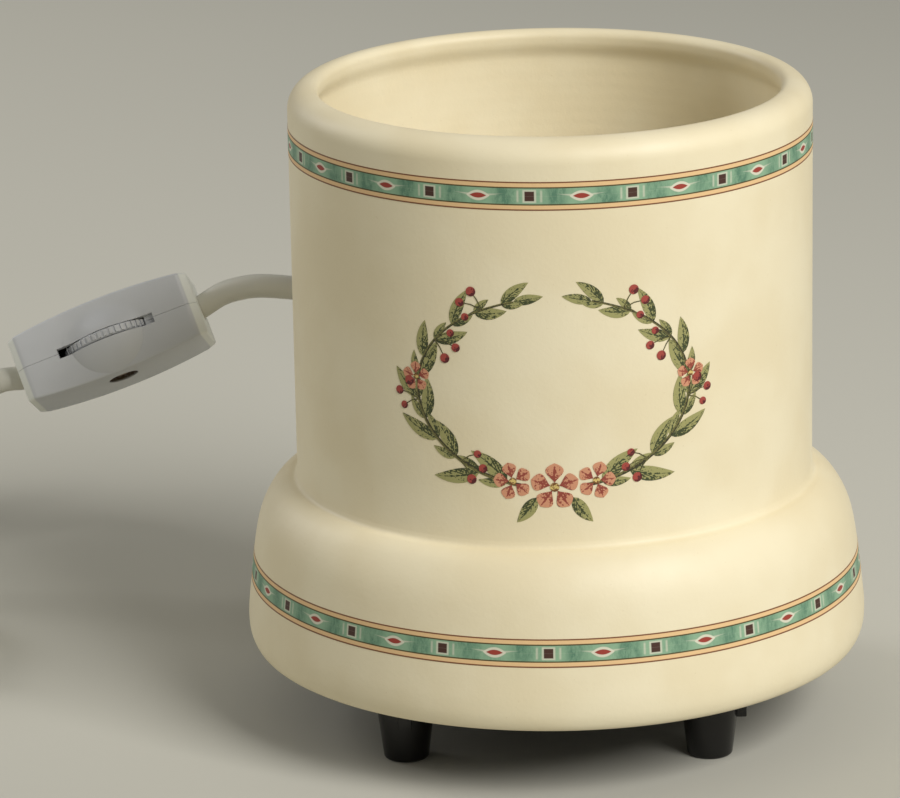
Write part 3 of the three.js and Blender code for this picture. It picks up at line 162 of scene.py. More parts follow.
class Finish:
    """A material for one of this object's surfaces."""

    def __init__(self, name, **values):
        self.material = bpy.data.materials.new(name)
        self.material.use_nodes = True
        self.tree = self.material.node_tree
        self.shader = self.tree.nodes["Principled BSDF"]
        for socket, value in values.items():
            self.shader.inputs[socket.replace("_", " ")].default_value = value
        self.places = self.node("ShaderNodeTexCoord", {}, []).outputs["Object"]

    def node(self, kind, settings, values):
        """A node: its settings first, then a link or a value for each socket."""
        made = self.tree.nodes.new(kind)
        for name, value in settings.items():
            setattr(made, name, value)
        pairs = values.items() if isinstance(values, dict) else enumerate(values)
        for key, value in pairs:
            value = getattr(value, "socket", value)
            if isinstance(value, bpy.types.NodeSocket):
                self.tree.links.new(value, made.inputs[key])
            else:
                made.inputs[key].default_value = value
        return made

    def place(self):
        """The three coordinates of a point, in metres."""
        split = self.node("ShaderNodeSeparateXYZ", {}, [self.places])
        return [Amount(self, out) for out in split.outputs]

    def noise(self, scale, detail=2, stretch=(1, 1, 1), rough=0.5):
        """Cloudy noise of 0 to 1. A higher scale gives smaller clouds."""
        mapped = self.node("ShaderNodeMapping", {}, {"Vector": self.places, "Scale": stretch})
        values = {"Vector": mapped.outputs[0], "Scale": scale, "Detail": detail, "Roughness": rough}
        return Amount(self, self.node("ShaderNodeTexNoise", {}, values).outputs["Fac"])

    def blend(self, share, first, second):
        """A colour between two others, which are sockets or three numbers each."""
        colours = [c if isinstance(c, bpy.types.NodeSocket) else (*c, 1) for c in (first, second)]
        values = dict(zip(MIX_SOCKETS, (share, *colours)))
        return self.node("ShaderNodeMix", {"data_type": "RGBA"}, values).outputs[MIX_RESULT]

    def colour(self, socket):
        self.tree.links.new(socket, self.shader.inputs["Base Color"])

    def vary(self, name, amount):
        self.tree.links.new(amount.socket, self.shader.inputs[name])

    def bump(self, height, depth):
        """Height is 0 to 1, and depth is what 1 stands for, in metres."""
        values = {"Height": height, "Distance": depth, "Strength": 1.0}
        made = self.node("ShaderNodeBump", {}, values)
        self.tree.links.new(made.outputs["Normal"], self.shader.inputs["Normal"])

# %% Colours as an eye reads them
def rgb(red, green, blue):
    """A colour as an eye reads it on a screen, 0 to 255, in the shader's linear light."""
    shares = [c / 255 for c in (red, green, blue)]
    return tuple(c / 12.92 if c <= 0.04045 else ((c + 0.055) / 1.055) ** 2.4 for c in shares)

print("mid grey is", round(rgb(128, 128, 128)[0], 3), "in linear light")

# %% [markdown]
# ## The lead's route
# The lead leaves the pot's back through its strain relief, crosses to the switch,
# comes down to the table at the left and ends in a coil of six turns with the plug
# beside it. A smooth curve through chosen points gives each free stretch, and a
# spiral in and out again, one layer up on the way back, gives the coil. The points
# are those of the solid model, raised a little beside the switch, so the curve lies
# about where the solids are.

# %% Places along the relief and on the switch
def rad(degrees):
    return math.radians(degrees)

RELIEF_TURN = rad(20)
RELIEF_HEIGHT = 78
RELIEF_TIP = 87.55
SWITCH_MIDDLE = Vector((-115.2, 105, 62.9))
SWITCH_ROLL, SWITCH_SLOPE, SWITCH_YAW = -27, 19.8, 6
switch_turn = Euler((rad(SWITCH_ROLL), rad(-SWITCH_SLOPE), rad(SWITCH_YAW)), "XYZ").to_matrix()

def relief_point(reach):
    """A point on the relief's axis, at a reach from the pot's axis."""
    return Vector((-reach * math.sin(RELIEF_TURN), reach * math.cos(RELIEF_TURN), RELIEF_HEIGHT))

def switch_point(x, y=0, z=0):
    """A point of the switch's own frame: X runs along it, and minus Y is its front."""
    return SWITCH_MIDDLE + switch_turn @ Vector((x, y, z))

print("switch end", [round(v, 1) for v in switch_point(25)])

# %% A smooth curve through points
def smooth_route(points, steps):
    """Points on the centripetal curve through the given ones, steps to a span."""
    points = [Vector(p) for p in points]
    ends = [2 * points[0] - points[1], *points, 2 * points[-1] - points[-2]]
    route = []
    for before, start, end, after in zip(ends, ends[1:], ends[2:], ends[3:]):
        spans = ((before, start), (start, end), (end, after))
        t0, t1, t2 = [math.sqrt((b - a).length) for a, b in spans]
        leave = ((start - before) / t0 - (end - before) / (t0 + t1) + (end - start) / t1) * t1
        arrive = ((end - start) / t1 - (after - start) / (t1 + t2) + (after - end) / t2) * t1
        for i in range(steps):
            t = i / steps
            hump = 2 * t**3 - 3 * t**2
            route.append(
                start * (hump + 1)
                + leave * (t**3 - 2 * t**2 + t)
                - end * hump
                + arrive * (t**3 - t**2)
            )
    return route + [points[-1]]

# %% The coil's spiral
COIL_X, COIL_Y, COIL_LOW = -190, 40, 4.1
COIL_INNER, COIL_PITCH, COIL_RISE = 22, 6.9, 6.8
COIL_TURNS, COIL_STEPS = 6, 24
COIL_CLIMB = 0.25
coil_left = COIL_X - COIL_INNER - COIL_PITCH * COIL_TURNS / 2

def coil_route():
    """In along the bottom layer, up a layer at the inside, out along the top."""
    route = []
    for i in range(1, COIL_TURNS * COIL_STEPS):
        turns = i / COIL_STEPS
        middle = turns - COIL_TURNS / 2
        reach = COIL_INNER + COIL_PITCH * abs(middle)
        share = min(max((middle + COIL_CLIMB) / (2 * COIL_CLIMB), 0), 1)
        climb = COIL_RISE * share * share * (3 - 2 * share)
        angle = math.pi * (1 + 2 * turns)
        x, y = COIL_X + reach * math.cos(angle), COIL_Y + reach * math.sin(angle)
        route.append(Vector((x, y, COIL_LOW + climb)))
    return route

print("coil", round(2 * (COIL_X - coil_left)), "mm across the middle of its outer turn")

# %% The two free routes
PLUG_X, PLUG_TIP, PLUG_Z = -236.2, 3.8, 7.5
LEAD_LIFT = Vector((0, -0.6, 1.7))
# From the switch's middle to where the lead is held, leaves the case, and bends freely
LEAD_HELD, LEAD_OUT, LEAD_FREE = 21.2, 25, 31.2
to_switch = smooth_route([
    relief_point(RELIEF_TIP - 6), relief_point(RELIEF_TIP + 0.3), relief_point(RELIEF_TIP + 6.2),
    (-35.6, 95.4, 77.2), (-44.5, 102.6, 76.3), (-56, 105, 76.3), (-67.8, 105.2, 77.1),
    (-77.2, 105.6, 77.6), switch_point(LEAD_FREE) + LEAD_LIFT, switch_point(LEAD_OUT, 0, 0.2),
    switch_point(LEAD_HELD),
], 2)
from_switch = smooth_route([
    switch_point(-LEAD_HELD), switch_point(-LEAD_OUT), switch_point(-LEAD_FREE) + LEAD_LIFT,
    (-160.5, 104.7, 43.4), (-178, 102.6, 32), (-196, 97.6, 20.2), (-211, 89.4, 11),
    (-222.4, 78.2, 5.6), (-229.8, 66, 3.6), (-232.4, 55.6, 3.8),
    (coil_left, 52.4, COIL_LOW), (coil_left, 46.2, COIL_LOW),
], 2)
coil_high = COIL_LOW + COIL_RISE
to_plug = smooth_route([
    (coil_left, 33.8, coil_high), (coil_left, 27.6, coil_high), (-234.45, 18.8, 9.78),
    (PLUG_X, 10, PLUG_Z), (PLUG_X, 4.1, PLUG_Z), (PLUG_X, PLUG_TIP - 6, PLUG_Z),
], 2)
long_route = from_switch + coil_route() + to_plug
print("points", len(to_switch), len(long_route))

# %% [markdown]
# A bezier curve with automatic handles passes through its points with no kinks.
# Its bevel gives it a round section, and half the lead's thickness is the depth.

# %% Make the leads
LEAD_DIAMETER = 6.2

def length_of(route):
    return sum((b - a).length for a, b in zip(route, route[1:]))

def make_lead(name, route, finish):
    data = bpy.data.curves.new(name, "CURVE")
    data.dimensions = "3D"
    data.bevel_depth = LEAD_DIAMETER / 2 * MM
    data.bevel_resolution = 5
    data.resolution_u = 4
    data.use_fill_caps = True
    spline = data.splines.new("BEZIER")
    spline.bezier_points.add(len(route) - 1)
    for knot, place in zip(spline.bezier_points, route):
        knot.co = place * MM
        knot.handle_left_type = knot.handle_right_type = "AUTO"
    data.materials.append(finish.material)
    lead = linked(name, data)
    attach(lead, "root")
    print(name, round(length_of(route)), "mm")
    return lead

# %% [markdown]
# ## The lead's finish
# The lead is soft PVC in a warm off-white, a little glossy and slightly uneven
# from the extruder. Noise with a low scale gives the shift of colour, and fine noise
# gives the skin.

# %% The lead's sheath
def sheath_finish():
    sheath = Finish("lead_sheath", IOR=1.5)
    cloudy = sheath.noise(60, 3).ramp(0.3, 0.7)
    sheath.colour(sheath.blend(cloudy, rgb(212, 209, 196), rgb(219, 217, 205)))
    sheath.vary("Roughness", 0.38 + sheath.noise(400, 3) * 0.12)
    sheath.bump(sheath.noise(1500, 2) * 0.6 + sheath.noise(120, 2) * 0.4, 0.00004)
    return sheath

sheath = sheath_finish()
short_lead = make_lead("lead_short", to_switch, sheath)
long_lead = make_lead("lead_long", long_route, sheath)

# %% [markdown]
# ## Turned pieces
# Most of this object is round. A half section drawn as points and joined by edges
# is spun about the vertical axis, as a potter's profile or a lathe does. The last
# ring is merged with the first, doubles on the axis are merged, and the normals
# are worked out again, because a spin can leave them facing inwards. The other
# helpers round edges, turn and move a mesh, slice it, and add one mesh to another.

# %% Helpers for turned pieces
def arc(centre_r, centre_z, radius, start, end, steps):
    """Points of a half section along an arc, with its angles in degrees."""
    turns = [rad(start + (end - start) * i / steps) for i in range(steps + 1)]
    return [(centre_r + radius * math.cos(t), centre_z + radius * math.sin(t)) for t in turns]

def spun(section, steps=96, closed=True):
    """A solid of revolution in millimetres, from points (radius, height)."""
    bm = bmesh.new()
    verts = [bm.verts.new((r, 0, z)) for r, z in section]
    pairs = list(zip(verts, verts[1:]))
    if closed:
        pairs.append((verts[-1], verts[0]))
    edges = [bm.edges.new(pair) for pair in pairs]
    bmesh.ops.spin(
        bm, geom=verts + edges, cent=(0, 0, 0), axis=(0, 0, 1),
        angle=2 * math.pi, steps=steps, use_merge=True,
    )
    bmesh.ops.remove_doubles(bm, verts=bm.verts, dist=0.001)
    bmesh.ops.recalc_face_normals(bm, faces=bm.faces)
    return bm

# %% Helpers for edges, places and joins
def bevel(bm, edges, width, steps, clamp=True):
    """Rounds edges in a few steps, or cuts them flat in one."""
    bmesh.ops.bevel(
        bm, geom=edges, offset=width, affect="EDGES", segments=steps,
        profile=0.5, material=-1, clamp_overlap=clamp,
    )

def soften(bm, width, steps, sharper_than):
    """Rounds the edges where the faces meet at more than an angle."""
    bevel(bm, [
        e for e in bm.edges
        if len(e.link_faces) == 2 and math.degrees(e.calc_face_angle(0)) > sharper_than
    ], width, steps)

def turn_mesh(bm, angle, axis):
    """Turns a mesh about an axis through the origin."""
    turned = Matrix.Rotation(angle, 3, axis)
    bmesh.ops.rotate(bm, cent=(0, 0, 0), matrix=turned, verts=bm.verts)

def move_mesh(bm, offset):
    bmesh.ops.translate(bm, vec=offset, verts=bm.verts)

def slice_mesh(bm, places):
    """Cuts a mesh across at places along X, so that it can be bent or drawn in."""
    for x in places:
        everything = bm.verts[:] + bm.edges[:] + bm.faces[:]
        bmesh.ops.bisect_plane(bm, geom=everything, plane_co=(x, 0, 0), plane_no=(1, 0, 0))

def join_mesh(bm, part):
    """Adds a second mesh to a mesh, and frees the second."""
    carrier = mesh_of(part, "carrier")
    bm.from_mesh(carrier)
    bpy.data.meshes.remove(carrier)

def block_place(low, high):
    """The matrix that makes a cube of size 1 the box between two corners."""
    middle = [(a + b) / 2 for a, b in zip(low, high)]
    size = [b - a for a, b in zip(low, high)]
    return Matrix.Translation(middle) @ Matrix.Diagonal((*size, 1))

def bevelled_block(bm, low, high, width, steps=2):
    """A box between two corners with rounded edges, added to a mesh."""
    made = bmesh.ops.create_cube(bm, size=1, matrix=block_place(low, high))["verts"]
    bevel(bm, list(dict.fromkeys(e for v in made for e in v.link_edges)), width, steps)

# %% A finished piece
def finished(bm, name, finish, body="root", sharp=40, replaces=()):
    """Puts a mesh into the scene as one piece, in metres, riding on its body."""
    bmesh.ops.scale(bm, vec=(MM, MM, MM), verts=bm.verts)
    for face in bm.faces:
        face.smooth = True
    for edge in bm.edges:
        if len(edge.link_faces) == 2 and edge.calc_face_angle(0) > rad(sharp):
            edge.smooth = False
    mesh = mesh_of(bm, name)
    for each in (finish if isinstance(finish, list) else [finish]):
        mesh.materials.append(each.material)
    piece = linked(name, mesh)
    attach(piece, body)
    if replaces:
        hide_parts(*replaces)
    print(name, len(mesh.polygons), "faces")
    return piece

# %% [markdown]
# ## The pot's profile
# The pot is cast in one: a rim rolled over a small lip, a straight cylinder, an
# inner ledge for the hot plate and a wide rounded flange at the foot. The section
# is drawn once, with arcs fine enough that no flats show on the silhouette. The
# flange's outside is a smooth curve through a few points, given as shares of how far
# it stands out and how tall it is.

# %% The pot's half section
POT_RADIUS = 62
FLANGE_REACH = 11.6
FLANGE_LOW, FLANGE_TALL = 18.4, 41.6
FLANGE_SHARES = [
    (0.66, 0), (0.945, 0.03), (1.06, 0.09), (1.09, 0.18), (1.055, 0.3), (0.99, 0.45), (0.92, 0.61),
    (0.8, 0.77), (0.63, 0.875), (0.42, 0.95), (0.2, 0.99), (0.05, 1.005), (0, 1.04),
]
RIM_CENTRE, RIM_TOP, RIM_ROUND, LIP_ROUND = 56.6, 155.8, 5.4, 2
COVE_REACH, COVE_TOP, COVE_STEP = 1.6, 153.2, 0.52
WELL_RADIUS, LEDGE_RADIUS, INNER_RADIUS, FLANGE_INNER = 56.2, 49.6, 56.9, 68.4
LEDGE_TOP, LEDGE_LOW, LEDGE_FOOT = 103.2, 97.2, 88.2
WELL_ROUND, LEDGE_ROUND = 1.2, 1
SIDE_HEIGHTS = (75, 90, 105, 120, 135, 147.5)

def flange_side():
    corners = [
        (POT_RADIUS + r * FLANGE_REACH, 0, FLANGE_LOW + z * FLANGE_TALL)
        for r, z in FLANGE_SHARES
    ]
    return [(p.x, p.z) for p in smooth_route(corners, 4)]

def outer_side():
    """The pot's outside, from its foot to the start of the rim."""
    return [*flange_side(), *[(POT_RADIUS, z) for z in SIDE_HEIGHTS]]

def cove_side():
    """The shallow hollow between the lip and the straight well."""
    lip_radius = RIM_CENTRE - LIP_ROUND
    return [
        (lip_radius + COVE_REACH * math.sin(rad(9 * i)) ** 2, COVE_TOP - COVE_STEP * i)
        for i in range(1, 11)
    ]

def pot_section():
    return [
        *outer_side(),
        *arc(RIM_CENTRE, RIM_TOP - RIM_ROUND, RIM_ROUND, 0, 90, 14),
        *arc(RIM_CENTRE, RIM_TOP - LIP_ROUND, LIP_ROUND, 100, 180, 8),
        *cove_side(),
        *[(WELL_RADIUS, z) for z in (147, 135, 120)],
        *arc(WELL_RADIUS - WELL_ROUND, LEDGE_TOP + WELL_ROUND, WELL_ROUND, 0, -90, 4),
        *arc(LEDGE_RADIUS + LEDGE_ROUND, LEDGE_TOP - LEDGE_ROUND, LEDGE_ROUND, 90, 180, 4),
        (LEDGE_RADIUS, LEDGE_LOW), (INNER_RADIUS, LEDGE_FOOT), (INNER_RADIUS, 60),
        (60.5, 54.4), (66.3, 50.8), (FLANGE_INNER, 44.2), (FLANGE_INNER, 22.6), (66.3, FLANGE_LOW),
    ]

pot_points = pot_section()
print("profile points", len(pot_points))

# %% [markdown]
# ## The glaze
# The pot wears a cream satin glaze. It is a little cloudy, with a few brown freckles,
# and has a soft broad shine and a skin like fine eggshell. Inside the well the faint
# rings of the turned mould show. The same cream is under the printed bands, so
# functions return its colour and its skin for both finishes.

# %% The cream glaze
CREAM_LIGHT = rgb(243, 232, 200)
CREAM_DEEP = rgb(237, 224, 189)

def cream(finish):
    cloudy = finish.noise(38, 3).ramp(0.32, 0.68)
    freckles = finish.noise(1400, 1).ramp(0.74, 0.82)
    base = finish.blend(cloudy, CREAM_DEEP, CREAM_LIGHT)
    return finish.blend(freckles * 0.22, base, rgb(205, 184, 140))

def glaze_skin(finish):
    fine = finish.noise(900, 3, rough=0.6)
    wide = finish.noise(55, 2)
    return fine * 0.35 + wide * 0.65

def glaze_shine(finish):
    finish.vary("Roughness", 0.43 + finish.noise(240, 3) * 0.14)

WELL_EDGE = 0.0572
RING_PITCH = 0.0031

def glaze_finish():
    glaze = Finish("cream_glaze", IOR=1.46)
    glaze.colour(cream(glaze))
    glaze_shine(glaze)
    x, y, z = glaze.place()
    reach = (x * x + y * y).root()
    inside = reach < WELL_EDGE
    rings = (z * (2 * math.pi / RING_PITCH) + glaze.noise(20, 1) * 5).sine() * 0.5 + 0.5
    glaze.bump(glaze_skin(glaze) + inside * rings * 0.12, 0.00012)
    return glaze

glaze = glaze_finish()
print("glaze nodes", len(glaze.tree.nodes))

# %% Turn the pot
finished(
    spun(pot_points, steps=192), "pot", glaze, sharp=50,
    replaces=["ceramic_pot", "pot_flange", "pot_ledge"],
)

# %% [markdown]
# ## The border bands
# Two printed borders ring the pot, one under the rim and one round the flange: a
# green ribbon with dark squares and little pointed eyes in turn, between peach
# stripes with fine brown lines. They are transfers, fired onto the glaze, so each
# is its own thin sleeve just off the pot. Its pattern is drawn by sums: `around`
# runs along the band in millimetres from the nearest square, and `up` runs across.
# A picture texture would be simpler, but sums stay sharp at any distance.

# %% Masks for drawn shapes
def near(amount, reach, soft=0.06):
    """A mask of where an amount lies within a reach of zero, in millimetres."""
    return 1 - abs(amount).ramp(reach - soft, reach + soft)

# %% The band's pattern
BAND_BROWN = rgb(124, 76, 46)
BAND_PEACH = rgb(238, 200, 148)
BAND_OLIVE = rgb(78, 70, 36)
BAND_GREEN = rgb(146, 182, 150)
BAND_DEEP = rgb(92, 134, 110)
BAND_DARK = rgb(74, 47, 38)
BAND_PALE = rgb(226, 222, 202)
BAND_RED = rgb(160, 62, 50)
BAND_HALF = 3.35
# Half the width of each stripe, from the outer one in. The last is the green ribbon.
PEACH_HALF, OLIVE_HALF, RIBBON_HALF = 3.02, 2.12, 1.82

def ribbon_stripes(band, around, up, half_period):
    """Stripes across the band, and the ribbon's streaks of deeper green."""
    streaks = band.noise(760, 5, stretch=(1, 1, 0.4), rough=0.85).ramp(0.34, 0.66)
    blot = band.noise(230, 2).ramp(0.42, 0.6)
    midway = near(abs(around) - half_period / 2, 2.2, 1.8)
    deep = midway * 0.35 + (midway * 0.55 + blot * 0.35) * streaks
    green = band.blend(deep, BAND_GREEN, BAND_DEEP)
    colour = cream(band)
    for half, stripe in (
        (BAND_HALF, BAND_BROWN), (PEACH_HALF, BAND_PEACH),
        (OLIVE_HALF, BAND_OLIVE), (RIBBON_HALF, green),
    ):
        colour = band.blend(near(up, half), colour, stripe)
    return colour

# %% The band's squares and eyes
def dark_squares(band, colour, around, up):
    """A dark square with a pale outline, between two pale bars."""
    bars = near(abs(around) - 2.6, 0.22, 0.2) * near(up, 1.35, 0.3)
    outline = near(around, 1.5, 0.16) * near(up, 1.5, 0.16)
    square = near(around, 1.06, 0.09) * near(up, 1.12, 0.09)
    colour = band.blend(bars * 0.55, colour, BAND_PALE)
    colour = band.blend(outline * 0.68, colour, BAND_PALE)
    return band.blend(square, colour, BAND_DARK)

def bowed(from_middle, half_long, half_tall):
    """How tall a pointed oval is at a distance from its middle."""
    bend = from_middle / half_long
    return half_tall * (1 - bend * bend)

def pointed_eyes(band, colour, from_eye, up):
    """A pale pointed oval with a red one in it, and pale tails along the ribbon."""
    lens = bowed(from_eye, 2.7, 1.25).most(0) - abs(up)
    pupil = bowed(from_eye, 1.9, 0.62) - abs(up)
    tail = (0.42 - 0.085 * from_eye) - abs(up - 0.1 * from_eye)
    colour = band.blend(tail.ramp(-0.15, 0.2) * 0.7, colour, BAND_PALE)
    colour = band.blend(lens.ramp(-0.06, 0.14) * 0.92, colour, BAND_PALE)
    return band.blend(pupil.ramp(-0.06, 0.08), colour, BAND_RED)

# %% The band's finish
# The pattern is drawn out by this share at the front, and drawn in behind.
STRETCH = 0.028

def band_finish(name, radius, middle, repeats, first_turn):
    band = Finish(name, IOR=1.46)
    x, y, z = band.place()
    angle = band.node("ShaderNodeMath", {"operation": "ARCTAN2"}, [x, -y]).outputs[0]
    period = 2 * math.pi / repeats
    turned = Amount(band, angle) - rad(first_turn)
    laid = turned - turned.sine() * STRETCH
    around = laid.wrapped(-period / 2, period / 2) * radius
    up = (z - middle * MM) * 1000
    half_period = period * radius / 2
    from_eye = half_period - abs(around)
    colour = ribbon_stripes(band, around, up, half_period)
    colour = dark_squares(band, colour, around, up)
    colour = pointed_eyes(band, colour, from_eye, up)
    band.colour(colour)
    glaze_shine(band)
    band.bump(glaze_skin(band), 0.00012)
    return band

# %% [markdown]
# The sleeve follows the pot's own profile between two heights, a twentieth of a
# millimetre off it, and closes behind itself inside the pot's wall.

# %% Make the two bands
def sleeve_points(low, high, off):
    """The pot's outside between two heights, set off outwards."""
    side = outer_side()
    heights = [low + (high - low) * i / 12 for i in range(13)]
    outer = []
    for height in heights:
        for (r0, z0), (r1, z1) in zip(side, side[1:]):
            if z0 <= height <= z1 and z1 > z0:
                outer.append((r0 + (r1 - r0) * (height - z0) / (z1 - z0) + off, height))
                break
    return outer

BAND_OFF, BAND_DEPTH = 0.05, 0.4
# Each band's name, middle height, number of repeats and the turn of its first square
BANDS = (("upper", 143.35, 17, -4.5), ("lower", 38.45, 19, -1.5))
for name, middle, repeats, first_turn in BANDS:
    outer = sleeve_points(middle - BAND_HALF, middle + BAND_HALF, BAND_OFF)
    inner = [(r - BAND_DEPTH, z) for r, z in reversed(outer)]
    radius = sum(r for r, z in outer) / len(outer)
    finish = band_finish(name + "_band_print", radius, middle, repeats, first_turn)
    finished(spun(outer + inner, steps=192), name + "_band", finish, sharp=50)
    print(name, "band radius", round(radius, 2), "mm")

# %% [markdown]
# ## The wreath on the front
# The place between the borders holds a plain printed wreath: two boughs of leaves
# in olive greens that meet under five-petalled blossoms in terracotta and red. It
# is a transfer as well, and could be painted by sums, but leaves that turn every
# way are easier as flat cut-outs. Each starts as a small grid, is shaped on the
# flat, and then the whole sheet is wrapped round the cylinder. A map on each
# cut-out says how far along and across it a point lies, for its shading.

# %% Cut-outs on the flat
PRINT_OFF, PRINT_LAYER = 0.06, 0.02
PRINT_MIDDLE = 97
LEAF, STEM, PETAL, HEART, BERRY = range(5)

def place_cutout(verts, places, uv, kind):
    """Moves a grid's corners to (across, up) on the sheet, and maps them 0 to 1."""
    shares = {v: (v.co.x, v.co.y) for v in verts}
    for face in {f for v in verts for f in v.link_faces}:
        face.material_index = kind
        for loop in face.loops:
            along, across = shares[loop.vert]
            loop[uv].uv = (along + 0.5, across + 0.5)
    for vert in verts:
        vert.co = Vector((*places(*shares[vert]), 0))

def grid_of(bm, along, across):
    made = bmesh.ops.create_grid(bm, x_segments=along, y_segments=across, size=0.5)
    return made["verts"]

def leaf(bm, uv, root, heading, length, width, curl, kind=LEAF, blunt=0.8):
    """A pointed leaf: widest a little before its middle, its midrib curling over."""
    def places(s, t):
        share = s + 0.5
        half = width * math.sin(math.pi * share**blunt) ** 0.85 * t
        turn = heading + curl * share
        reach = length * share
        middle = heading + curl * share / 2
        x = root[0] + reach * math.cos(middle) - half * math.sin(turn)
        y = root[1] + reach * math.sin(middle) + half * math.cos(turn)
        return x, y
    place_cutout(grid_of(bm, 10, 4), places, uv, kind)

# %% Stalks, dots and blossoms
def stalk(bm, uv, route, width, kind=STEM):
    """A thin ribbon along a curve of points."""
    def places(s, t):
        at = (s + 0.5) * (len(route) - 1)
        i = min(int(at), len(route) - 2)
        start, end = Vector(route[i]), Vector(route[i + 1])
        place = start.lerp(end, at - i)
        ahead = (end - start).normalized()
        taper = 1 - 0.5 * (s + 0.5)
        return place.x - ahead.y * width * taper * t, place.y + ahead.x * width * taper * t
    place_cutout(grid_of(bm, max(4, 2 * len(route)), 1), places, uv, kind)

def disc(bm, uv, centre, radius, kind):
    """A round dot, from a square grid drawn out to a circle."""
    def places(s, t):
        most = max(abs(s), abs(t))
        size = math.hypot(s, t)
        scale = 2 * radius * most / size if size > 0 else 0
        return centre[0] + s * scale, centre[1] + t * scale
    place_cutout(grid_of(bm, 6, 6), places, uv, kind)

PETALS, HEART_SHARE = 5, 0.2

def blossom(bm, uv, centre, radius, tilt):
    """Petals round a heart. A petal is a blunt leaf with no curl."""
    heart = HEART_SHARE * radius
    for i in range(PETALS):
        heading = tilt + 2 * math.pi * i / PETALS
        start = (centre[0] + heart * math.cos(heading), centre[1] + heart * math.sin(heading))
        leaf(bm, uv, start, heading, radius * 0.86, radius * 0.78, 0, PETAL, blunt=1.45)
    disc(bm, uv, centre, heart, HEART)

# %% The boughs
WREATH_WIDE, WREATH_TALL = 32.5, 22.5
BOUGH_LEAVES, STALK_STEPS = 12, 24
BOUGH_START, BOUGH_END = rad(-78), rad(74)

def on_wreath(turn):
    return WREATH_WIDE * math.cos(turn), WREATH_TALL * math.sin(turn)

def bough(bm, uv, side):
    """One side of the wreath, from the blossoms at the foot to a tip at the top."""
    start, end = BOUGH_START, BOUGH_END
    turns = [start + (end - start) * i / STALK_STEPS for i in range(STALK_STEPS + 1)]
    route = [(side * on_wreath(t)[0], on_wreath(t)[1]) for t in turns]
    stalk(bm, uv, route, 0.9)
    for i in range(BOUGH_LEAVES):
        share = (i + 0.6) / BOUGH_LEAVES
        turn = start + (end - start) * share
        x, y = on_wreath(turn)
        dx, dy = -WREATH_WIDE * math.sin(turn), WREATH_TALL * math.cos(turn)
        heading = math.atan2(dy, dx)
        out = 1 if i % 2 else -1
        length = 11.2 - 3.2 * share + 0.8 * math.sin(2.3 * i)
        spread = rad(38 + 7 * math.sin(1.7 * i))
        turned = heading - out * spread
        curl = out * rad(24)
        if side < 0:
            turned, curl = math.pi - turned, -curl
        leaf(bm, uv, (side * x, y), turned, length, 3.7 - share, curl)
        small = turned + out * side * rad(62)
        leaf(bm, uv, (side * x, y), small, length * 0.62, 2.4 - 0.6 * share, -curl)
    x, y = on_wreath(end)
    tip = math.atan2(WREATH_TALL * math.cos(end), -WREATH_WIDE * math.sin(end))
    leaf(bm, uv, (side * x, y), tip if side > 0 else math.pi - tip, 7, 2.4, 0)

def sprig_of_berries(bm, uv, turn, side, lift):
    """Three berries on short stalks, outside the wreath or, with a lift of -1, inside."""
    x, y = on_wreath(turn)
    x *= side
    for k, (dx, dy) in enumerate(((0.6, 1), (1.25, 0.35), (0.95, -0.45))):
        end = (x + lift * side * 4.2 * dx, y + lift * 4.2 * dy)
        stalk(bm, uv, [(x, y), ((x + end[0]) / 2, (y + end[1]) / 2 + 0.4), end], 0.36)
        disc(bm, uv, end, 1.15 - 0.12 * k, BERRY)

# %% [markdown]
# The print's inks are few: two olive greens, an umber for lines, terracotta, deep
# red and a pale straw. Shading is stippled, as an engraver's dots are, so each
# finish sets a threshold along the cut-out's own map and lets fine noise cross it.

# %% The inks
def ink(name, light, dark, shade, grain=1500):
    """A stippled ink. shade gives how dark a place is from the cut-out's own map."""
    made = Finish(name, IOR=1.5)
    mapped = made.node("ShaderNodeUVMap", {"uv_map": "cutout"}, [])
    split = made.node("ShaderNodeSeparateXYZ", {}, [mapped.outputs[0]])
    along, across = Amount(made, split.outputs[0]), Amount(made, split.outputs[1])
    dots = made.noise(grain, 2, rough=0.8)
    mask = (shade(along, across - 0.5) + (dots - 0.5) * 2.4).ramp(0.42, 0.58)
    made.colour(made.blend(mask, light, dark))
    glaze_shine(made)
    return made

def leaf_shade(along, across):
    veins = (along * 46 - abs(across) * 34).sine() * 0.16
    rib = 0.5 * near(across, 0.05, 0.03)
    low_side = across.ramp(-0.5, 0.35) * 0.52
    return 0.82 - low_side - 0.35 * along.ramp(0.1, 0.9) + veins + rib

def petal_shade(along, across):
    return 0.9 - 0.95 * along + 0.5 * near(across, 0.06, 0.04)

def berry_shade(along, across):
    return 0.35 + (along - 0.5) * 0.9 - across * 0.9

inks = [
    ink("leaf_ink", rgb(163, 160, 104), rgb(62, 70, 40), leaf_shade),
    ink("stem_ink", rgb(112, 108, 62), rgb(58, 56, 34), lambda s, t: 0.5 - t),
    ink("petal_ink", rgb(214, 152, 118), rgb(150, 70, 56), petal_shade),
    ink("heart_ink", rgb(222, 196, 120), rgb(120, 78, 40), lambda s, t: 0.25 + abs(t) * 1.2),
    ink("berry_ink", rgb(168, 72, 62), rgb(92, 30, 34), berry_shade),
]
print("inks", len(inks))

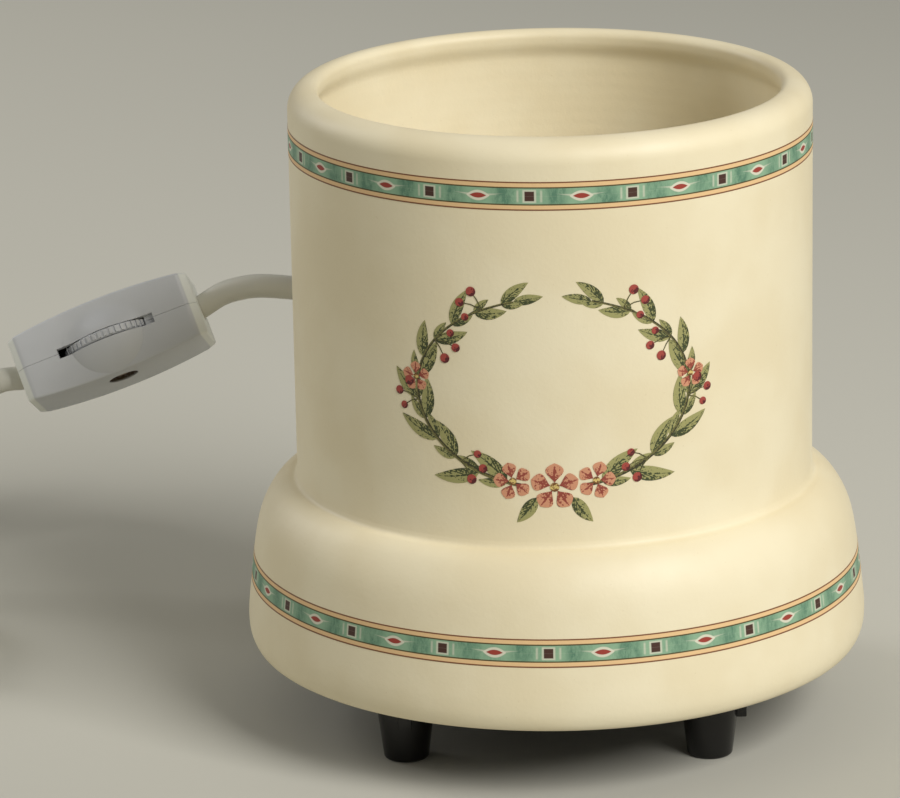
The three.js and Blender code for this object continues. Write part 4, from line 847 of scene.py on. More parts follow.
# %% Print the wreath
def print_wreath():
    """The whole wreath on the flat, with its two halves mirrored."""
    bm = bmesh.new()
    uv = bm.loops.layers.uv.new("cutout")
    for side in (1, -1):
        bough(bm, uv, side)
        for turn, lift in ((-48, -1), (-8, 1), (31, -1), (60, 1)):
            sprig_of_berries(bm, uv, rad(turn), side, lift)
    blossom(bm, uv, (0, -WREATH_TALL + 0.3), 5.4, rad(90))
    for side in (1, -1):
        blossom(bm, uv, (side * 9.6, -WREATH_TALL + 1.6), 4.3, rad(90 - 15 * side))
        blossom(bm, uv, (side * (WREATH_WIDE + 0.4), 2.2), 3.4, rad(20))
        root = (side * 4.2, -WREATH_TALL - 2.2)
        leaf(bm, uv, root, rad(28 * side - 90), 7.6, 3.2, side * rad(18))
    return bm

def wrap_print(bm):
    """Wraps the flat sheet round the pot's cylinder, each kind on its own layer."""
    for vert in bm.verts:
        kinds = [f.material_index for f in vert.link_faces]
        off = POT_RADIUS + PRINT_OFF + PRINT_LAYER * max(kinds)
        turn = vert.co.x / POT_RADIUS
        vert.co = Vector((off * math.sin(turn), -off * math.cos(turn), PRINT_MIDDLE + vert.co.y))
    for face in bm.faces:
        face.normal_update()
        middle = face.calc_center_median()
        if face.normal.x * middle.x + face.normal.y * middle.y < 0:
            face.normal_flip()
    return bm

finished(wrap_print(print_wreath()), "printed_wreath", inks, sharp=60)

# %% [markdown]
# ## Moulded plastics and metals
# Hard plastics shine more evenly than the glaze. The feet are gloss black, the base
# and the tie have a fine satin grain, and the wheel is a cool white. Metals are one
# shader with Metallic at 1, and what makes them differ is colour, the size of
# their scratches and how the scratches run: round in rings on a turned plate,
# every way on plated sheet.

# %% Plastics
def plastic(name, colour, roughness, grain, depth, shift=0.06):
    """Depth is the height of the grain, and shift is how much darker its clouds are."""
    made = Finish(name, IOR=1.46)
    cloudy = made.noise(70, 2).ramp(0.3, 0.7)
    darker = tuple(c * (1 - shift) for c in colour)
    made.colour(made.blend(cloudy, darker, colour))
    made.vary("Roughness", roughness - 0.04 + made.noise(grain / 3, 2) * 0.1)
    made.bump(made.noise(grain, 2, rough=0.7), depth)
    return made

gloss_black = plastic("gloss_black", rgb(19, 18, 17), 0.2, 700, 0.00002)
satin_black = plastic("satin_black", rgb(30, 29, 28), 0.5, 2200, 0.00005)
switch_white = plastic("switch_white", rgb(212, 214, 217), 0.36, 2600, 0.00003, 0.03)
wheel_white = plastic("wheel_white", rgb(218, 220, 224), 0.4, 2600, 0.00003, 0.05)
plug_cream = plastic("plug_cream", rgb(206, 200, 182), 0.45, 1800, 0.00004, 0.05)
porcelain = plastic("porcelain", rgb(232, 229, 220), 0.22, 500, 0.00003, 0.03)
silicone = plastic("silicone", rgb(196, 192, 182), 0.6, 1500, 0.00005, 0.06)
brown_core = plastic("brown_core", rgb(96, 58, 36), 0.4, 1800, 0.00002, 0.12)
blue_core = plastic("blue_core", rgb(52, 92, 156), 0.4, 1800, 0.00002, 0.12)
print("plastic nodes", len(gloss_black.tree.nodes))

# %% Metals
def metal(name, colour, roughness, stretch=(1, 1, 1), scale=600, depth=0.00002, dull=None):
    made = Finish(name, Metallic=1.0)
    stains = made.noise(45, 3).ramp(0.35, 0.75)
    dulled = dull or tuple(c * 0.82 for c in colour)
    made.colour(made.blend(stains, colour, dulled))
    scratches = made.noise(scale, 4, stretch=stretch, rough=0.7)
    made.vary("Roughness", roughness - 0.08 + scratches * 0.18)
    made.bump(scratches, depth)
    return made

plated_steel = metal("plated_steel", rgb(196, 198, 200), 0.34)
brushed_steel = metal("brushed_steel", rgb(188, 190, 192), 0.4, stretch=(1, 14, 1), scale=260)
brass = metal("brass", rgb(214, 180, 104), 0.3, dull=rgb(178, 142, 78))
rusty_steel = metal("rusty_steel", rgb(150, 128, 104), 0.5, dull=rgb(98, 62, 40), depth=0.00006)

def turned_metal(name, colour, roughness, pitch):
    """Fine rings round the Z axis, as a lathe tool leaves them."""
    made = Finish(name, Metallic=1.0)
    x, y, z = made.place()
    reach = (x * x + y * y).root()
    rings = (reach * (2 * math.pi / pitch)).sine() * 0.5 + 0.5
    wander = made.noise(260, 3, rough=0.7)
    heat = reach.ramp(0.01, 0.05) * 0.7 + made.noise(40, 3) * 0.3
    made.colour(made.blend(heat, tuple(c * 0.8 for c in colour), colour))
    made.vary("Roughness", roughness - 0.06 + wander * 0.16)
    made.bump(rings * 0.7 + wander * 0.3, 0.00004)
    return made

plate_metal = turned_metal("turned_aluminium", rgb(206, 207, 208), 0.36, 0.0009)
print("metal nodes", len(plated_steel.tree.nodes), "and turned", len(plate_metal.tree.nodes))

# %% Mica, fibre and sleeve
def flaky(name, light, dark, scale, depth, roughness):
    """Pressed flakes or felted fibre: patches of near tones with soft edges."""
    made = Finish(name, Roughness=roughness)
    flakes = made.noise(scale, 4, rough=0.65).ramp(0.35, 0.65)
    fine = made.noise(scale * 6, 2)
    made.colour(made.blend(flakes * 0.7 + fine * 0.3, dark, light))
    made.bump(flakes * 0.6 + fine * 0.4, depth)
    return made

mica = flaky("mica", rgb(206, 184, 140), rgb(158, 130, 88), 260, 0.00005, 0.35)
fibre = flaky("mineral_fibre", rgb(230, 226, 214), rgb(196, 190, 174), 500, 0.0002, 0.95)
sleeve = flaky("glass_sleeve", rgb(226, 222, 208), rgb(188, 182, 164), 1500, 0.00015, 0.85)
print("finishes so far", len(bpy.data.materials))

# %% [markdown]
# ## The switch case's finish
# The case is white plastic. Its end faces carry a painted highlight that makes them
# lighter, and the recess underneath is painted dark brown: partly rust run from the
# screw, partly painted shade in the recess. A mask needs to know how far along the
# case a point lies, but the case is turned in space. A dot product with the case's
# own axis gives that distance, and the distance from the screw gives the rust and
# painted shade. A picture for this would need an unwrapped map, and these sums need none.

# %% Finish the case
SCREW_PLACE = switch_point(0, -3.1, -8) * MM
# Each mask fades between two distances, in metres
END_HIGHLIGHT_FROM, END_HIGHLIGHT_TO = 0.0228, 0.0234
RUST_AND_SHADE_FROM, RUST_AND_SHADE_TO = 0.0043, 0.0046

def case_finish():
    made = Finish("case_white", IOR=1.46)
    axis = switch_turn @ Vector((1, 0, 0))
    dot = {"operation": "DOT_PRODUCT"}
    along = made.node("ShaderNodeVectorMath", dot, [made.places, axis]).outputs["Value"]
    # Painted highlight: the end faces are made lighter than the rest of the case
    ends = abs(Amount(made, along) - axis.dot(SWITCH_MIDDLE) * MM).ramp(END_HIGHLIGHT_FROM, END_HIGHLIGHT_TO)
    distance = {"operation": "DISTANCE"}
    away = made.node("ShaderNodeVectorMath", distance, [made.places, SCREW_PLACE]).outputs["Value"]
    # Rust from the screw and painted shade darken the whole recess round it
    rust_and_recess_shade = 1 - Amount(made, away).ramp(RUST_AND_SHADE_FROM, RUST_AND_SHADE_TO)
    spots = made.noise(900, 3, rough=0.7).ramp(0.3, 0.6)
    cloudy = made.noise(70, 2).ramp(0.3, 0.7)
    colour = made.blend(cloudy, rgb(208, 210, 213), rgb(214, 216, 219))
    colour = made.blend(ends, colour, rgb(246, 248, 241))
    made.colour(made.blend(rust_and_recess_shade * (0.75 + spots * 0.25), colour, rgb(70, 54, 36)))
    made.vary("Roughness", 0.32 + made.noise(860, 2) * 0.1)
    made.bump(made.noise(2600, 2, rough=0.7), 0.00003)
    return made

case_white = case_finish()
print("screw at", [round(v / MM, 1) for v in SCREW_PLACE])

# %% [markdown]
# The solid nodes inside the pot and the switch keep their own meshes. Each slot of
# the record names a finish for them.

# %% Dress the solids that stay
finish_of_slot = {
    "ceramic": glaze, "aluminium": plate_metal, "steel": plated_steel, "brass": brass,
    "silicone": silicone, "mica": mica, "fibre": fibre, "black_plastic": satin_black,
    "white_plastic": switch_white, "lead_sheath": plug_cream, "porcelain": porcelain,
    "brown_core": brown_core, "blue_core": blue_core, "sleeve": sleeve,
}
slot_of = {part["node"]: part["material_slot"] for part in frame["record"]["subparts"]}
special = {
    "switch_screw": rusty_steel, "heating_element": brushed_steel, "clamp_plate": brushed_steel,
}
for name, node in nodes.items():
    dressed = special.get(name, finish_of_slot[slot_of[name]])
    node.data.materials.clear()
    node.data.materials.append(dressed.material)
    for face in node.data.polygons:
        face.material_index = 0
print("dressed", len(nodes), "solids")

# %% [markdown]
# ## The plate
# The hot plate is turned aluminium with a small radius on its edge. It lies deep
# in the well, so only a look from above shows it.

# %% Turn the plate
PLATE_RADIUS, PLATE_LOW, PLATE_HIGH = 55.3, 105, 107
plate_section = [
    (0, 103.5), (3.15, 103.5), (3.15, 99), (6.6, 99), (7, 99.4), (7, PLATE_LOW),
    (PLATE_RADIUS - 0.8, PLATE_LOW), (PLATE_RADIUS, PLATE_LOW + 0.6),
    *arc(PLATE_RADIUS - 0.7, PLATE_HIGH - 0.7, 0.7, 0, 90, 4),
    (PLATE_RADIUS - 2.2, PLATE_HIGH - 0.04), (PLATE_RADIUS - 2.6, PLATE_HIGH - 0.3),
    (PLATE_RADIUS - 3.2, PLATE_HIGH - 0.3), (PLATE_RADIUS - 3.6, PLATE_HIGH - 0.04),
    (30, PLATE_HIGH - 0.02), (14, PLATE_HIGH - 0.04), (0, PLATE_HIGH - 0.05),
]
finished(
    spun(plate_section, steps=128, closed=False), "plate", plate_metal,
    replaces=["heating_plate"],
)

# %% [markdown]
# ## The feet
# Four glossy black pegs taper to the table. Each has a round edge at its foot and
# a small snap lug at its side. One peg is spun at the origin, its lug is a bevelled
# block, and both are moved out and turned to each of the four places.

# %% Make the feet
FOOT_REACH, FOOT_TOP = 51, 17.3
FOOT_HIGH_RADIUS, FOOT_LOW_RADIUS, FOOT_ROUND = 7.4, 5.4, 0.8
FOOT_BORE, FOOT_BORE_LOW = 1.8, 9.5

def foot_mesh():
    """One peg on the origin, with a screw hole in its top."""
    wall = [
        (FOOT_LOW_RADIUS + (FOOT_HIGH_RADIUS - FOOT_LOW_RADIUS) * s, 0.9 + (FOOT_TOP - 1.5) * s)
        for s in (0.02, 0.25, 0.5, 0.75, 0.97)
    ]
    bm = spun([
        (0, 0.35), (3.2, 0.35), (3.6, 0),
        *arc(FOOT_LOW_RADIUS - FOOT_ROUND, FOOT_ROUND, FOOT_ROUND, -90, -8, 5), *wall,
        (FOOT_HIGH_RADIUS - 0.3, FOOT_TOP), (FOOT_BORE, FOOT_TOP),
        (FOOT_BORE, FOOT_BORE_LOW), (0, FOOT_BORE_LOW),
    ], steps=56, closed=False)
    lug = bmesh.new()
    lug_low, lug_high = (FOOT_HIGH_RADIUS / 2, -1.6, 9.3), (FOOT_HIGH_RADIUS + 1.3, 1.6, 15.7)
    bevelled_block(lug, lug_low, lug_high, 0.35)
    turn_mesh(lug, rad(45), "Z")
    join_mesh(bm, lug)
    return bm

for i, where in enumerate(("rear_right", "rear_left", "front_left", "front_right")):
    peg = foot_mesh()
    move_mesh(peg, (FOOT_REACH, 0, 0))
    turn_mesh(peg, rad(45 + 90 * i), "Z")
    finished(peg, "peg_" + where, gloss_black, sharp=45, replaces=["foot_" + where])

# %% [markdown]
# ## The strain relief
# A soft sleeve guards the lead where it leaves the pot's back. It tapers in four
# ribs, so that it bends in an even curve. Its section is spun upright, then the
# axis is tipped level and turned 20 degrees to the left, as the bore in the wall.

# %% Make the strain relief
RELIEF_LONG, RELIEF_RIBS = 23, 4
RELIEF_ROOT, RELIEF_END = 6.6, 4.3

def relief_rib(radius, low, high):
    """One rib and the groove after it."""
    return [
        (radius, low + 0.25), (radius + 0.05, low + 0.8), (radius, low + 2.9),
        (radius - 0.25, low + 3.15), (radius - 0.7, low + 3.35),
        (radius - 0.75, high - 0.6), (radius - 0.6, high - 0.2),
    ]

def relief_section():
    """The barrel in the wall, the flange against it, the ribs and the open tip."""
    section = [(0, 50.5), (5.2, 50.5), (5.6, 50.9), (5.6, 62.15), (8.7, 62.15), (9, 62.45)]
    section += [(9, 64.1), *arc(8.4, 64.0, 0.55, 0, 90, 3)]
    base = RELIEF_TIP - RELIEF_LONG
    for i in range(RELIEF_RIBS):
        low, high = [base + RELIEF_LONG * k / RELIEF_RIBS for k in (i, i + 1)]
        radius = RELIEF_ROOT + (RELIEF_END - RELIEF_ROOT) * i / RELIEF_RIBS
        section += relief_rib(radius, low, high)
    return section + [
        (RELIEF_END, RELIEF_TIP - 0.5), (4.0, RELIEF_TIP), (3.25, RELIEF_TIP),
        (3.15, RELIEF_TIP - 1.6), (0, RELIEF_TIP - 1.6),
    ]

relief = spun(relief_section(), steps=56, closed=False)
turn_mesh(relief, rad(-90), "X")
turn_mesh(relief, RELIEF_TURN, "Z")
move_mesh(relief, (0, 0, RELIEF_HEIGHT))
relief = finished(
    relief, "relief_sleeve", plug_cream, sharp=50, replaces=["strain_relief"],
)

# %% [markdown]
# ## The switch's case
# The inline switch is a crowned white case in two shells, 50 mm long. A slot along
# its front shows the rim of a thumb wheel, in a low round dome. The case is
# modelled whole, lying along X at the origin: a block is cut into slices, its long
# sides are bowed, its upright end edges are cut flat and the rest are rounded. The
# slices keep clear of that cut, or the bevel would fold over the nearest one.
# Boolean modifiers join the dome, hollow the case and cut the slot and the screw's
# recess, as these shapes cross the rounded form. Flat cuts then part it into shells.

# %% The case before it is cut
HALF_LENGTH, HALF_WIDTH, HALF_THICK = 25, 11.25, 8.5
CROWN, SIDE_BULGE, END_CHAMFER = 1.7, 0.6, 2.3
CASE_WALL, FRONT_WALL, BAY_END = 1.6, 1.9, 21
WHEEL_RADIUS, WHEEL_THICK, WHEEL_SHIFT = 12.4, 2.2, -3.1

# Slices in half the case's length
SLICES = 12

def is_end_edge(edge):
    """Whether an edge stands upright at a corner of the case's ends."""
    at_corner = all(
        abs(v.co.x) > HALF_LENGTH - 0.1 and abs(v.co.y) > HALF_WIDTH - 0.1 for v in edge.verts
    )
    return at_corner and abs(edge.verts[0].co.z - edge.verts[1].co.z) > 1

def case_mesh():
    bm = bmesh.new()
    corner = Vector((HALF_LENGTH, HALF_WIDTH, HALF_THICK))
    bmesh.ops.create_cube(bm, size=1, matrix=block_place(-corner, corner))
    slice_mesh(bm, [HALF_LENGTH * (i / SLICES - 1) for i in range(2, 2 * SLICES - 1)])
    for vert in bm.verts:
        bow = 1 - (vert.co.x / HALF_LENGTH) ** 2
        vert.co.z += math.copysign(CROWN * bow, vert.co.z)
        vert.co.y += math.copysign(SIDE_BULGE * bow, vert.co.y)
    bevel(bm, [e for e in bm.edges if is_end_edge(e)], END_CHAMFER, steps=1, clamp=False)
    soften(bm, 0.7, steps=3, sharper_than=28)
    bmesh.ops.recalc_face_normals(bm, faces=bm.faces)
    return bm

# %% Cutting tools
def held(bm, name):
    """A mesh as a plain object, for a boolean modifier to use."""
    return linked(name, mesh_of(bm, name))

def block_tool(low, high):
    bm = bmesh.new()
    bmesh.ops.create_cube(bm, size=1, matrix=block_place(low, high))
    return held(bm, "block_tool")

def rod_tool(radius, length, place, steps):
    bm = bmesh.new()
    bmesh.ops.create_cone(
        bm, cap_ends=True, segments=steps, radius1=radius, radius2=radius,
        depth=length, matrix=place,
    )
    bmesh.ops.recalc_face_normals(bm, faces=bm.faces)
    return held(bm, "rod_tool")

def cut_away(bm, tools, operation="DIFFERENCE"):
    """Takes tools out of a mesh, or joins them on, and deletes the tools."""
    target = held(bm, "target")
    for tool in tools:
        cut = target.modifiers.new("cut", "BOOLEAN")
        cut.operation = operation
        cut.solver = "EXACT"
        cut.object = tool
    bpy.context.view_layer.update()
    modified = target.evaluated_get(bpy.context.evaluated_depsgraph_get())
    shaped = bpy.data.meshes.new_from_object(modified)
    result = bmesh.new()
    result.from_mesh(shaped)
    for each in (target, *tools):
        mesh = each.data
        bpy.data.objects.remove(each)
        bpy.data.meshes.remove(mesh)
    bpy.data.meshes.remove(shaped)
    bmesh.ops.remove_doubles(result, verts=result.verts, dist=0.002)
    return result

# %% [markdown]
# The wheel is wider than the case, so a low dome swells from the front over it.
# Below the slot the dome is a cap of a ball with a crisp edge, and above it the dome
# fades out in a soft skirt. It is joined on first. The slot is straight and shallow,
# open through the wall at its left end, and a round room behind it holds the wheel.

# %% The dome
FRONT = -HALF_WIDTH
# The ball's radius, how far its cap reaches, and the depth to which the dome goes in
DOME_RADIUS, DOME_REACH, DOME_ROOT = 15.5, 9.8, 10.6
SKIRT_WIDE, SKIRT_TALL = 11.4, 9.2
DOME_RINGS = 20

def dome_place(share, turn):
    """Where a point of the dome lies: a crisp ball below the slot, a soft skirt above."""
    across, up = math.cos(turn), math.sin(turn)
    soft = min(max(0.5 + 4 * up, 0), 1)
    flat = math.sqrt(DOME_RADIUS**2 - DOME_REACH**2)
    crisp = math.sqrt(DOME_RADIUS**2 - (share * DOME_REACH) ** 2) - flat
    skirt = (DOME_RADIUS - flat) * math.cos(share * math.pi / 2) ** 2
    wide = DOME_REACH + (SKIRT_WIDE - DOME_REACH) * soft
    tall = DOME_REACH + (SKIRT_TALL - DOME_REACH) * soft
    front = FRONT - SIDE_BULGE - crisp - (skirt - crisp) * soft
    return Vector((wide * share * across, front, tall * share * up))

def dome_tool():
    """A flat disc is spun in rings, and each ring's corners move out to the dome."""
    rings = [(k / DOME_RINGS, 1) for k in range(DOME_RINGS + 1)]
    bm = spun([(0, 0), *rings, (1, 0)], steps=96)
    for vert in bm.verts:
        share = math.hypot(vert.co.x, vert.co.y)
        place = dome_place(share, math.atan2(vert.co.y, vert.co.x))
        if vert.co.z < 0.5:
            place.y = -DOME_ROOT
        vert.co = place
    bmesh.ops.recalc_face_normals(bm, faces=bm.faces)
    return held(bm, "dome")

# %% The bay, the slot and the recess
SLOT_HALF, SLOT_DEPTH = 13.25, 1.2
SLOT_HOLE_LONG, SLOT_HOLE_DEEP = 2.4, 2.3
LEAD_HOLE, RECESS_RADIUS, SCREW_HOLE = 3.35, 4, 1.6
WHEEL_ROOM, WHEEL_GAP = 0.4, 0.22

def case_tools():
    """In turn: the bay, the lead's way, the slot, its hole, the wheel's room, the screw's."""
    wall = HALF_THICK - CASE_WALL
    half = WHEEL_THICK / 2 + WHEEL_GAP
    wheel_axis = Matrix.Translation((0, WHEEL_SHIFT, 0))
    recess = Matrix.Translation((0, WHEEL_SHIFT, -HALF_THICK - CROWN - 1))
    return [
        block_tool((-BAY_END, FRONT + FRONT_WALL, -wall), (BAY_END, HALF_WIDTH - CASE_WALL, wall)),
        rod_tool(LEAD_HOLE, 60, Matrix.Rotation(rad(90), 4, "Y"), 40),
        block_tool((-SLOT_HALF, -DOME_RADIUS - 1, -half), (SLOT_HALF, FRONT + SLOT_DEPTH, half)),
        block_tool(
            (-SLOT_HALF, FRONT, -half), (SLOT_HOLE_LONG - SLOT_HALF, FRONT + SLOT_HOLE_DEEP, half),
        ),
        rod_tool(WHEEL_RADIUS + WHEEL_ROOM, 2 * half, wheel_axis, 96),
        rod_tool(RECESS_RADIUS, 8, recess, 40),
        rod_tool(SCREW_HOLE, 24, wheel_axis @ Matrix.Translation((0, 0, -4)), 24),
    ]

# %% [markdown]
# A screw post stands inside the lower shell, and the wheel turns on it. The upper
# shell's nut is a solid of the frame, and closes on the screw from above.

# %% Part the case into its shells
PARTING = 0.04

def in_switch_place(bm):
    """Turns and moves a mesh from the origin to where the switch hangs."""
    bmesh.ops.rotate(bm, cent=(0, 0, 0), matrix=switch_turn, verts=bm.verts)
    move_mesh(bm, SWITCH_MIDDLE)
    return bm

def half_of(bm, side):
    """One shell: what lies on one side of the parting line, with its cut filled."""
    half = bm.copy()
    everything = half.verts[:] + half.edges[:] + half.faces[:]
    cut = bmesh.ops.bisect_plane(
        half, geom=everything, plane_co=(0, 0, PARTING * side), plane_no=(0, 0, side),
        clear_inner=True,
    )
    rim = [e for e in cut["geom_cut"] if isinstance(e, bmesh.types.BMEdge)]
    bmesh.ops.triangle_fill(half, edges=rim, use_beauty=True)
    bmesh.ops.recalc_face_normals(half, faces=half.faces)
    return half

domed_case = cut_away(case_mesh(), [dome_tool()], operation="UNION")
whole_case = cut_away(domed_case, case_tools())
lower, upper = half_of(whole_case, -1), half_of(whole_case, 1)
whole_case.free()
post = spun([
    (SCREW_HOLE, -7.2), (5, -7.2), (5, -1.4), (2.6, -1.4), (2.6, 3.2), (SCREW_HOLE, 3.2),
], steps=40)
move_mesh(post, (0, WHEEL_SHIFT, 0))
join_mesh(lower, post)
switch_low = finished(
    in_switch_place(lower), "switch_case_lower", case_white, sharp=38,
    replaces=["switch_lower_shell"],
)
switch_high = finished(
    in_switch_place(upper), "switch_case_upper", case_white, sharp=38,
    replaces=["switch_upper_shell"],
)

# %% [markdown]
# ## The thumb wheel
# The wheel has 48 teeth on its rim, so that a thumb can turn it. A tube is spun
# with four steps to a tooth, and two of each four outer faces are pushed out. It
# rides on the wheel's own body, so it turns with the joint.

# %% Make the wheel
TEETH, TOOTH_DEPTH, WHEEL_LIFT = 48, 0.45, 0.1
WHEEL_BORE, WHEEL_CHAMFER = 3, 0.25
STEPS_A_TOOTH = 4

def wheel_mesh():
    root = WHEEL_RADIUS - TOOTH_DEPTH
    half = WHEEL_THICK / 2
    cut = WHEEL_CHAMFER
    around = STEPS_A_TOOTH * TEETH
    bm = spun([
        (WHEEL_BORE, -half), (root - cut, -half), (root, -half + cut),
        (root, half - cut), (root - cut, half), (WHEEL_BORE, half),
    ], steps=around)
    bm.faces.ensure_lookup_table()
    teeth = []
    for face in bm.faces:
        middle = face.calc_center_median()
        if abs(face.normal.z) < 0.1 and math.hypot(middle.x, middle.y) > root - 0.1:
            turn = math.degrees(math.atan2(middle.y, middle.x)) % 360
            step = int(round(turn / 360 * around - 0.5))
            if step % STEPS_A_TOOTH < 2:
                teeth.append(face)
    grown = bmesh.ops.extrude_face_region(bm, geom=teeth)["geom"]
    for vert in [v for v in grown if isinstance(v, bmesh.types.BMVert)]:
        reach = math.hypot(vert.co.x, vert.co.y)
        vert.co.x *= (reach + TOOTH_DEPTH) / reach
        vert.co.y *= (reach + TOOTH_DEPTH) / reach
        vert.co.z *= 0.94
    bmesh.ops.delete(bm, geom=teeth, context="FACES_ONLY")
    bmesh.ops.recalc_face_normals(bm, faces=bm.faces)
    move_mesh(bm, (0, WHEEL_SHIFT, WHEEL_LIFT))
    return bm

finished(
    in_switch_place(wheel_mesh()), "thumb_wheel_rim", wheel_white,
    body="switch_wheel", sharp=35, replaces=["thumb_wheel"],
)

# %% [markdown]
# ## The tie
# A flat black strap holds the coil. It goes round the turns on one side, so its
# section is a long round-cornered loop, set upright and drawn out to the strap's
# width. Its lock sits on top. How far the loop reaches is read from the solid tie.

# %% Make the tie
TIE_ANGLE = rad(-20)
TIE_WALL, TIE_WIDTH, TIE_CORNER = 0.7, 7, 2.3
LOCK_HALF_LONG, LOCK_HALF_WIDE, LOCK_TALL = 4.5, 4.2, 2.6

def strap_mesh(near, far, low, high):
    """A strap round a box seen from its end, drawn out along Y."""
    bm = bmesh.new()
    loops = []
    for grow in (TIE_WALL, 0):
        corner = TIE_CORNER + grow
        right, left = far + grow - corner, near - grow + corner
        top, foot = high + grow - corner, low - grow + corner
        points = []
        for i, (x, z) in enumerate(((right, top), (left, top), (left, foot), (right, foot))):
            points += arc(x, z, corner, 90 * i, 90 * i + 90, 8)
        verts = [bm.verts.new((x, -TIE_WIDTH / 2, z)) for x, z in points]
        loops.append([bm.edges.new(pair) for pair in zip(verts, verts[1:] + verts[:1])])
    face = bmesh.ops.bridge_loops(bm, edges=loops[0] + loops[1])["faces"]
    grown = bmesh.ops.extrude_face_region(bm, geom=face)["geom"]
    moved = [v for v in grown if isinstance(v, bmesh.types.BMVert)]
    bmesh.ops.translate(bm, vec=(0, TIE_WIDTH, 0), verts=moved)
    bmesh.ops.recalc_face_normals(bm, faces=bm.faces)
    soften(bm, 0.2, steps=2, sharper_than=60)
    return bm

tie_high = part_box("coil_tie")[1]
coil_middle = Vector((COIL_X, COIL_Y, 0))
tie_turn = Matrix.Rotation(-TIE_ANGLE, 3, "Z")
tie_corners = [Vector(v.co) / MM - coil_middle for v in nodes["coil_tie"].data.vertices]
reaches = [(tie_turn @ corner).x for corner in tie_corners]
tie_near, tie_far = min(reaches) + TIE_WALL, max(reaches) - TIE_WALL
tie_top = tie_high.z / MM - TIE_WALL
strap = strap_mesh(tie_near, tie_far, TIE_WALL, tie_top)
lock_x = (tie_near + tie_far) / 2
bevelled_block(
    strap, (lock_x - LOCK_HALF_LONG, -LOCK_HALF_WIDE, tie_top),
    (lock_x + LOCK_HALF_LONG, LOCK_HALF_WIDE, tie_top + LOCK_TALL), 0.7, 3,
)
turn_mesh(strap, TIE_ANGLE, "Z")
move_mesh(strap, coil_middle)
tie = finished(strap, "tie_strap", satin_black, sharp=40, replaces=["coil_tie"])
print("tie from", round(tie_near, 1), "to", round(tie_far, 1), "top", round(tie_top, 1))

# %% [markdown]
# ## The plug
# A moulded two-blade plug ends the lead. Its grip widens from the boot to the face,
# with cut shoulders and finger grooves, and its ribbed boot lets the lead bend. The
# grip starts as a block with slices, is drawn in towards the rear, and is rounded.

# %% Make the plug
PLUG_LONG, PLUG_WIDE, PLUG_THICK = 22, 24, 15
PLUG_REAR_WIDE, PLUG_REAR_THICK, SHOULDER_SHARE = 13, 11, 0.45
BOOT_LONG, BOOT_RADIUS, BOOT_TIP = 15, 4.8, 3.9
BLADE_SPACING, BLADE_WIDE, BLADE_THICK, BLADE_LONG = 12.7, 6.3, 1.5, 17.5
BOOT_RIBS = 5

def grip_mesh():
    """The grip, from x 0 at the boot to its face."""
    bm = bmesh.new()
    block = block_place((0, -0.5, -0.5), (PLUG_LONG, 0.5, 0.5))
    bmesh.ops.create_cube(bm, size=1, matrix=block)
    slice_mesh(bm, [PLUG_LONG * share for share in (0.15, 0.3, SHOULDER_SHARE, 0.72)])
    for vert in bm.verts:
        share = min(vert.co.x / PLUG_LONG / SHOULDER_SHARE, 1)
        ease = math.sin(share * math.pi / 2)
        vert.co.y *= PLUG_REAR_WIDE + (PLUG_WIDE - PLUG_REAR_WIDE) * ease
        vert.co.z *= PLUG_REAR_THICK + (PLUG_THICK - PLUG_REAR_THICK) * ease
    soften(bm, 1.6, steps=4, sharper_than=60)
    return bm

def boot_section():
    """The boot's half section, from its thin end to the grip."""
    first = 0.6 - BOOT_LONG
    pitch = -first / BOOT_RIBS
    section = [(0, -BOOT_LONG), (3.2, -BOOT_LONG), (3.6, -BOOT_LONG + 0.3)]
    for i in range(BOOT_RIBS):
        low, high = first + pitch * i, first + pitch * (i + 1)
        radius = BOOT_TIP + (BOOT_RADIUS - BOOT_TIP) * (i + 0.5) / BOOT_RIBS
        section += [
            (radius - 0.25, low), (radius, low + 0.35), (radius, high - 1.1),
            (radius - 0.6, high - 0.8), (radius - 0.6, high - 0.15),
        ]
    return section + [(BOOT_RADIUS, 0), (BOOT_RADIUS, 1.5), (0, 1.5)]

def plug_place(bm):
    """Turns and moves a mesh from the origin to where the plug lies."""
    turn_mesh(bm, rad(-90), "Z")
    move_mesh(bm, (PLUG_X, PLUG_TIP - BOOT_LONG, PLUG_Z))
    return bm

# %% Cut its grooves and sockets, and add the boot
GROOVES, GROOVE_FIRST, GROOVE_PITCH, GROOVE_HALF_LONG = 4, 10.5, 2.2, 7
SOCKET_LONG, SOCKET_HALF_THICK, SOCKET_HALF_WIDE = 4.6, 1.05, 3.45

cuts = []
for side in (-1, 1):
    for i in range(GROOVES):
        x, z = GROOVE_FIRST + GROOVE_PITCH * i, side * PLUG_THICK / 2
        cuts.append(block_tool(
            (x - 0.5, -GROOVE_HALF_LONG, z - 0.5), (x + 0.5, GROOVE_HALF_LONG, z + 0.5),
        ))
for side in (-1, 1):
    y = side * BLADE_SPACING / 2
    cuts.append(block_tool(
        (PLUG_LONG - SOCKET_LONG, y - SOCKET_HALF_THICK, -SOCKET_HALF_WIDE),
        (PLUG_LONG + 2, y + SOCKET_HALF_THICK, SOCKET_HALF_WIDE),
    ))
grip = cut_away(grip_mesh(), cuts)
boot = spun(boot_section(), steps=48, closed=False)
turn_mesh(boot, rad(90), "Y")
join_mesh(grip, boot)
plug = finished(
    plug_place(grip), "plug_grip", plug_cream, sharp=40, replaces=["plug_body"],
)

# %% [markdown]
# The blades are flat brass strips with drawn-in tips and a round hole near them.

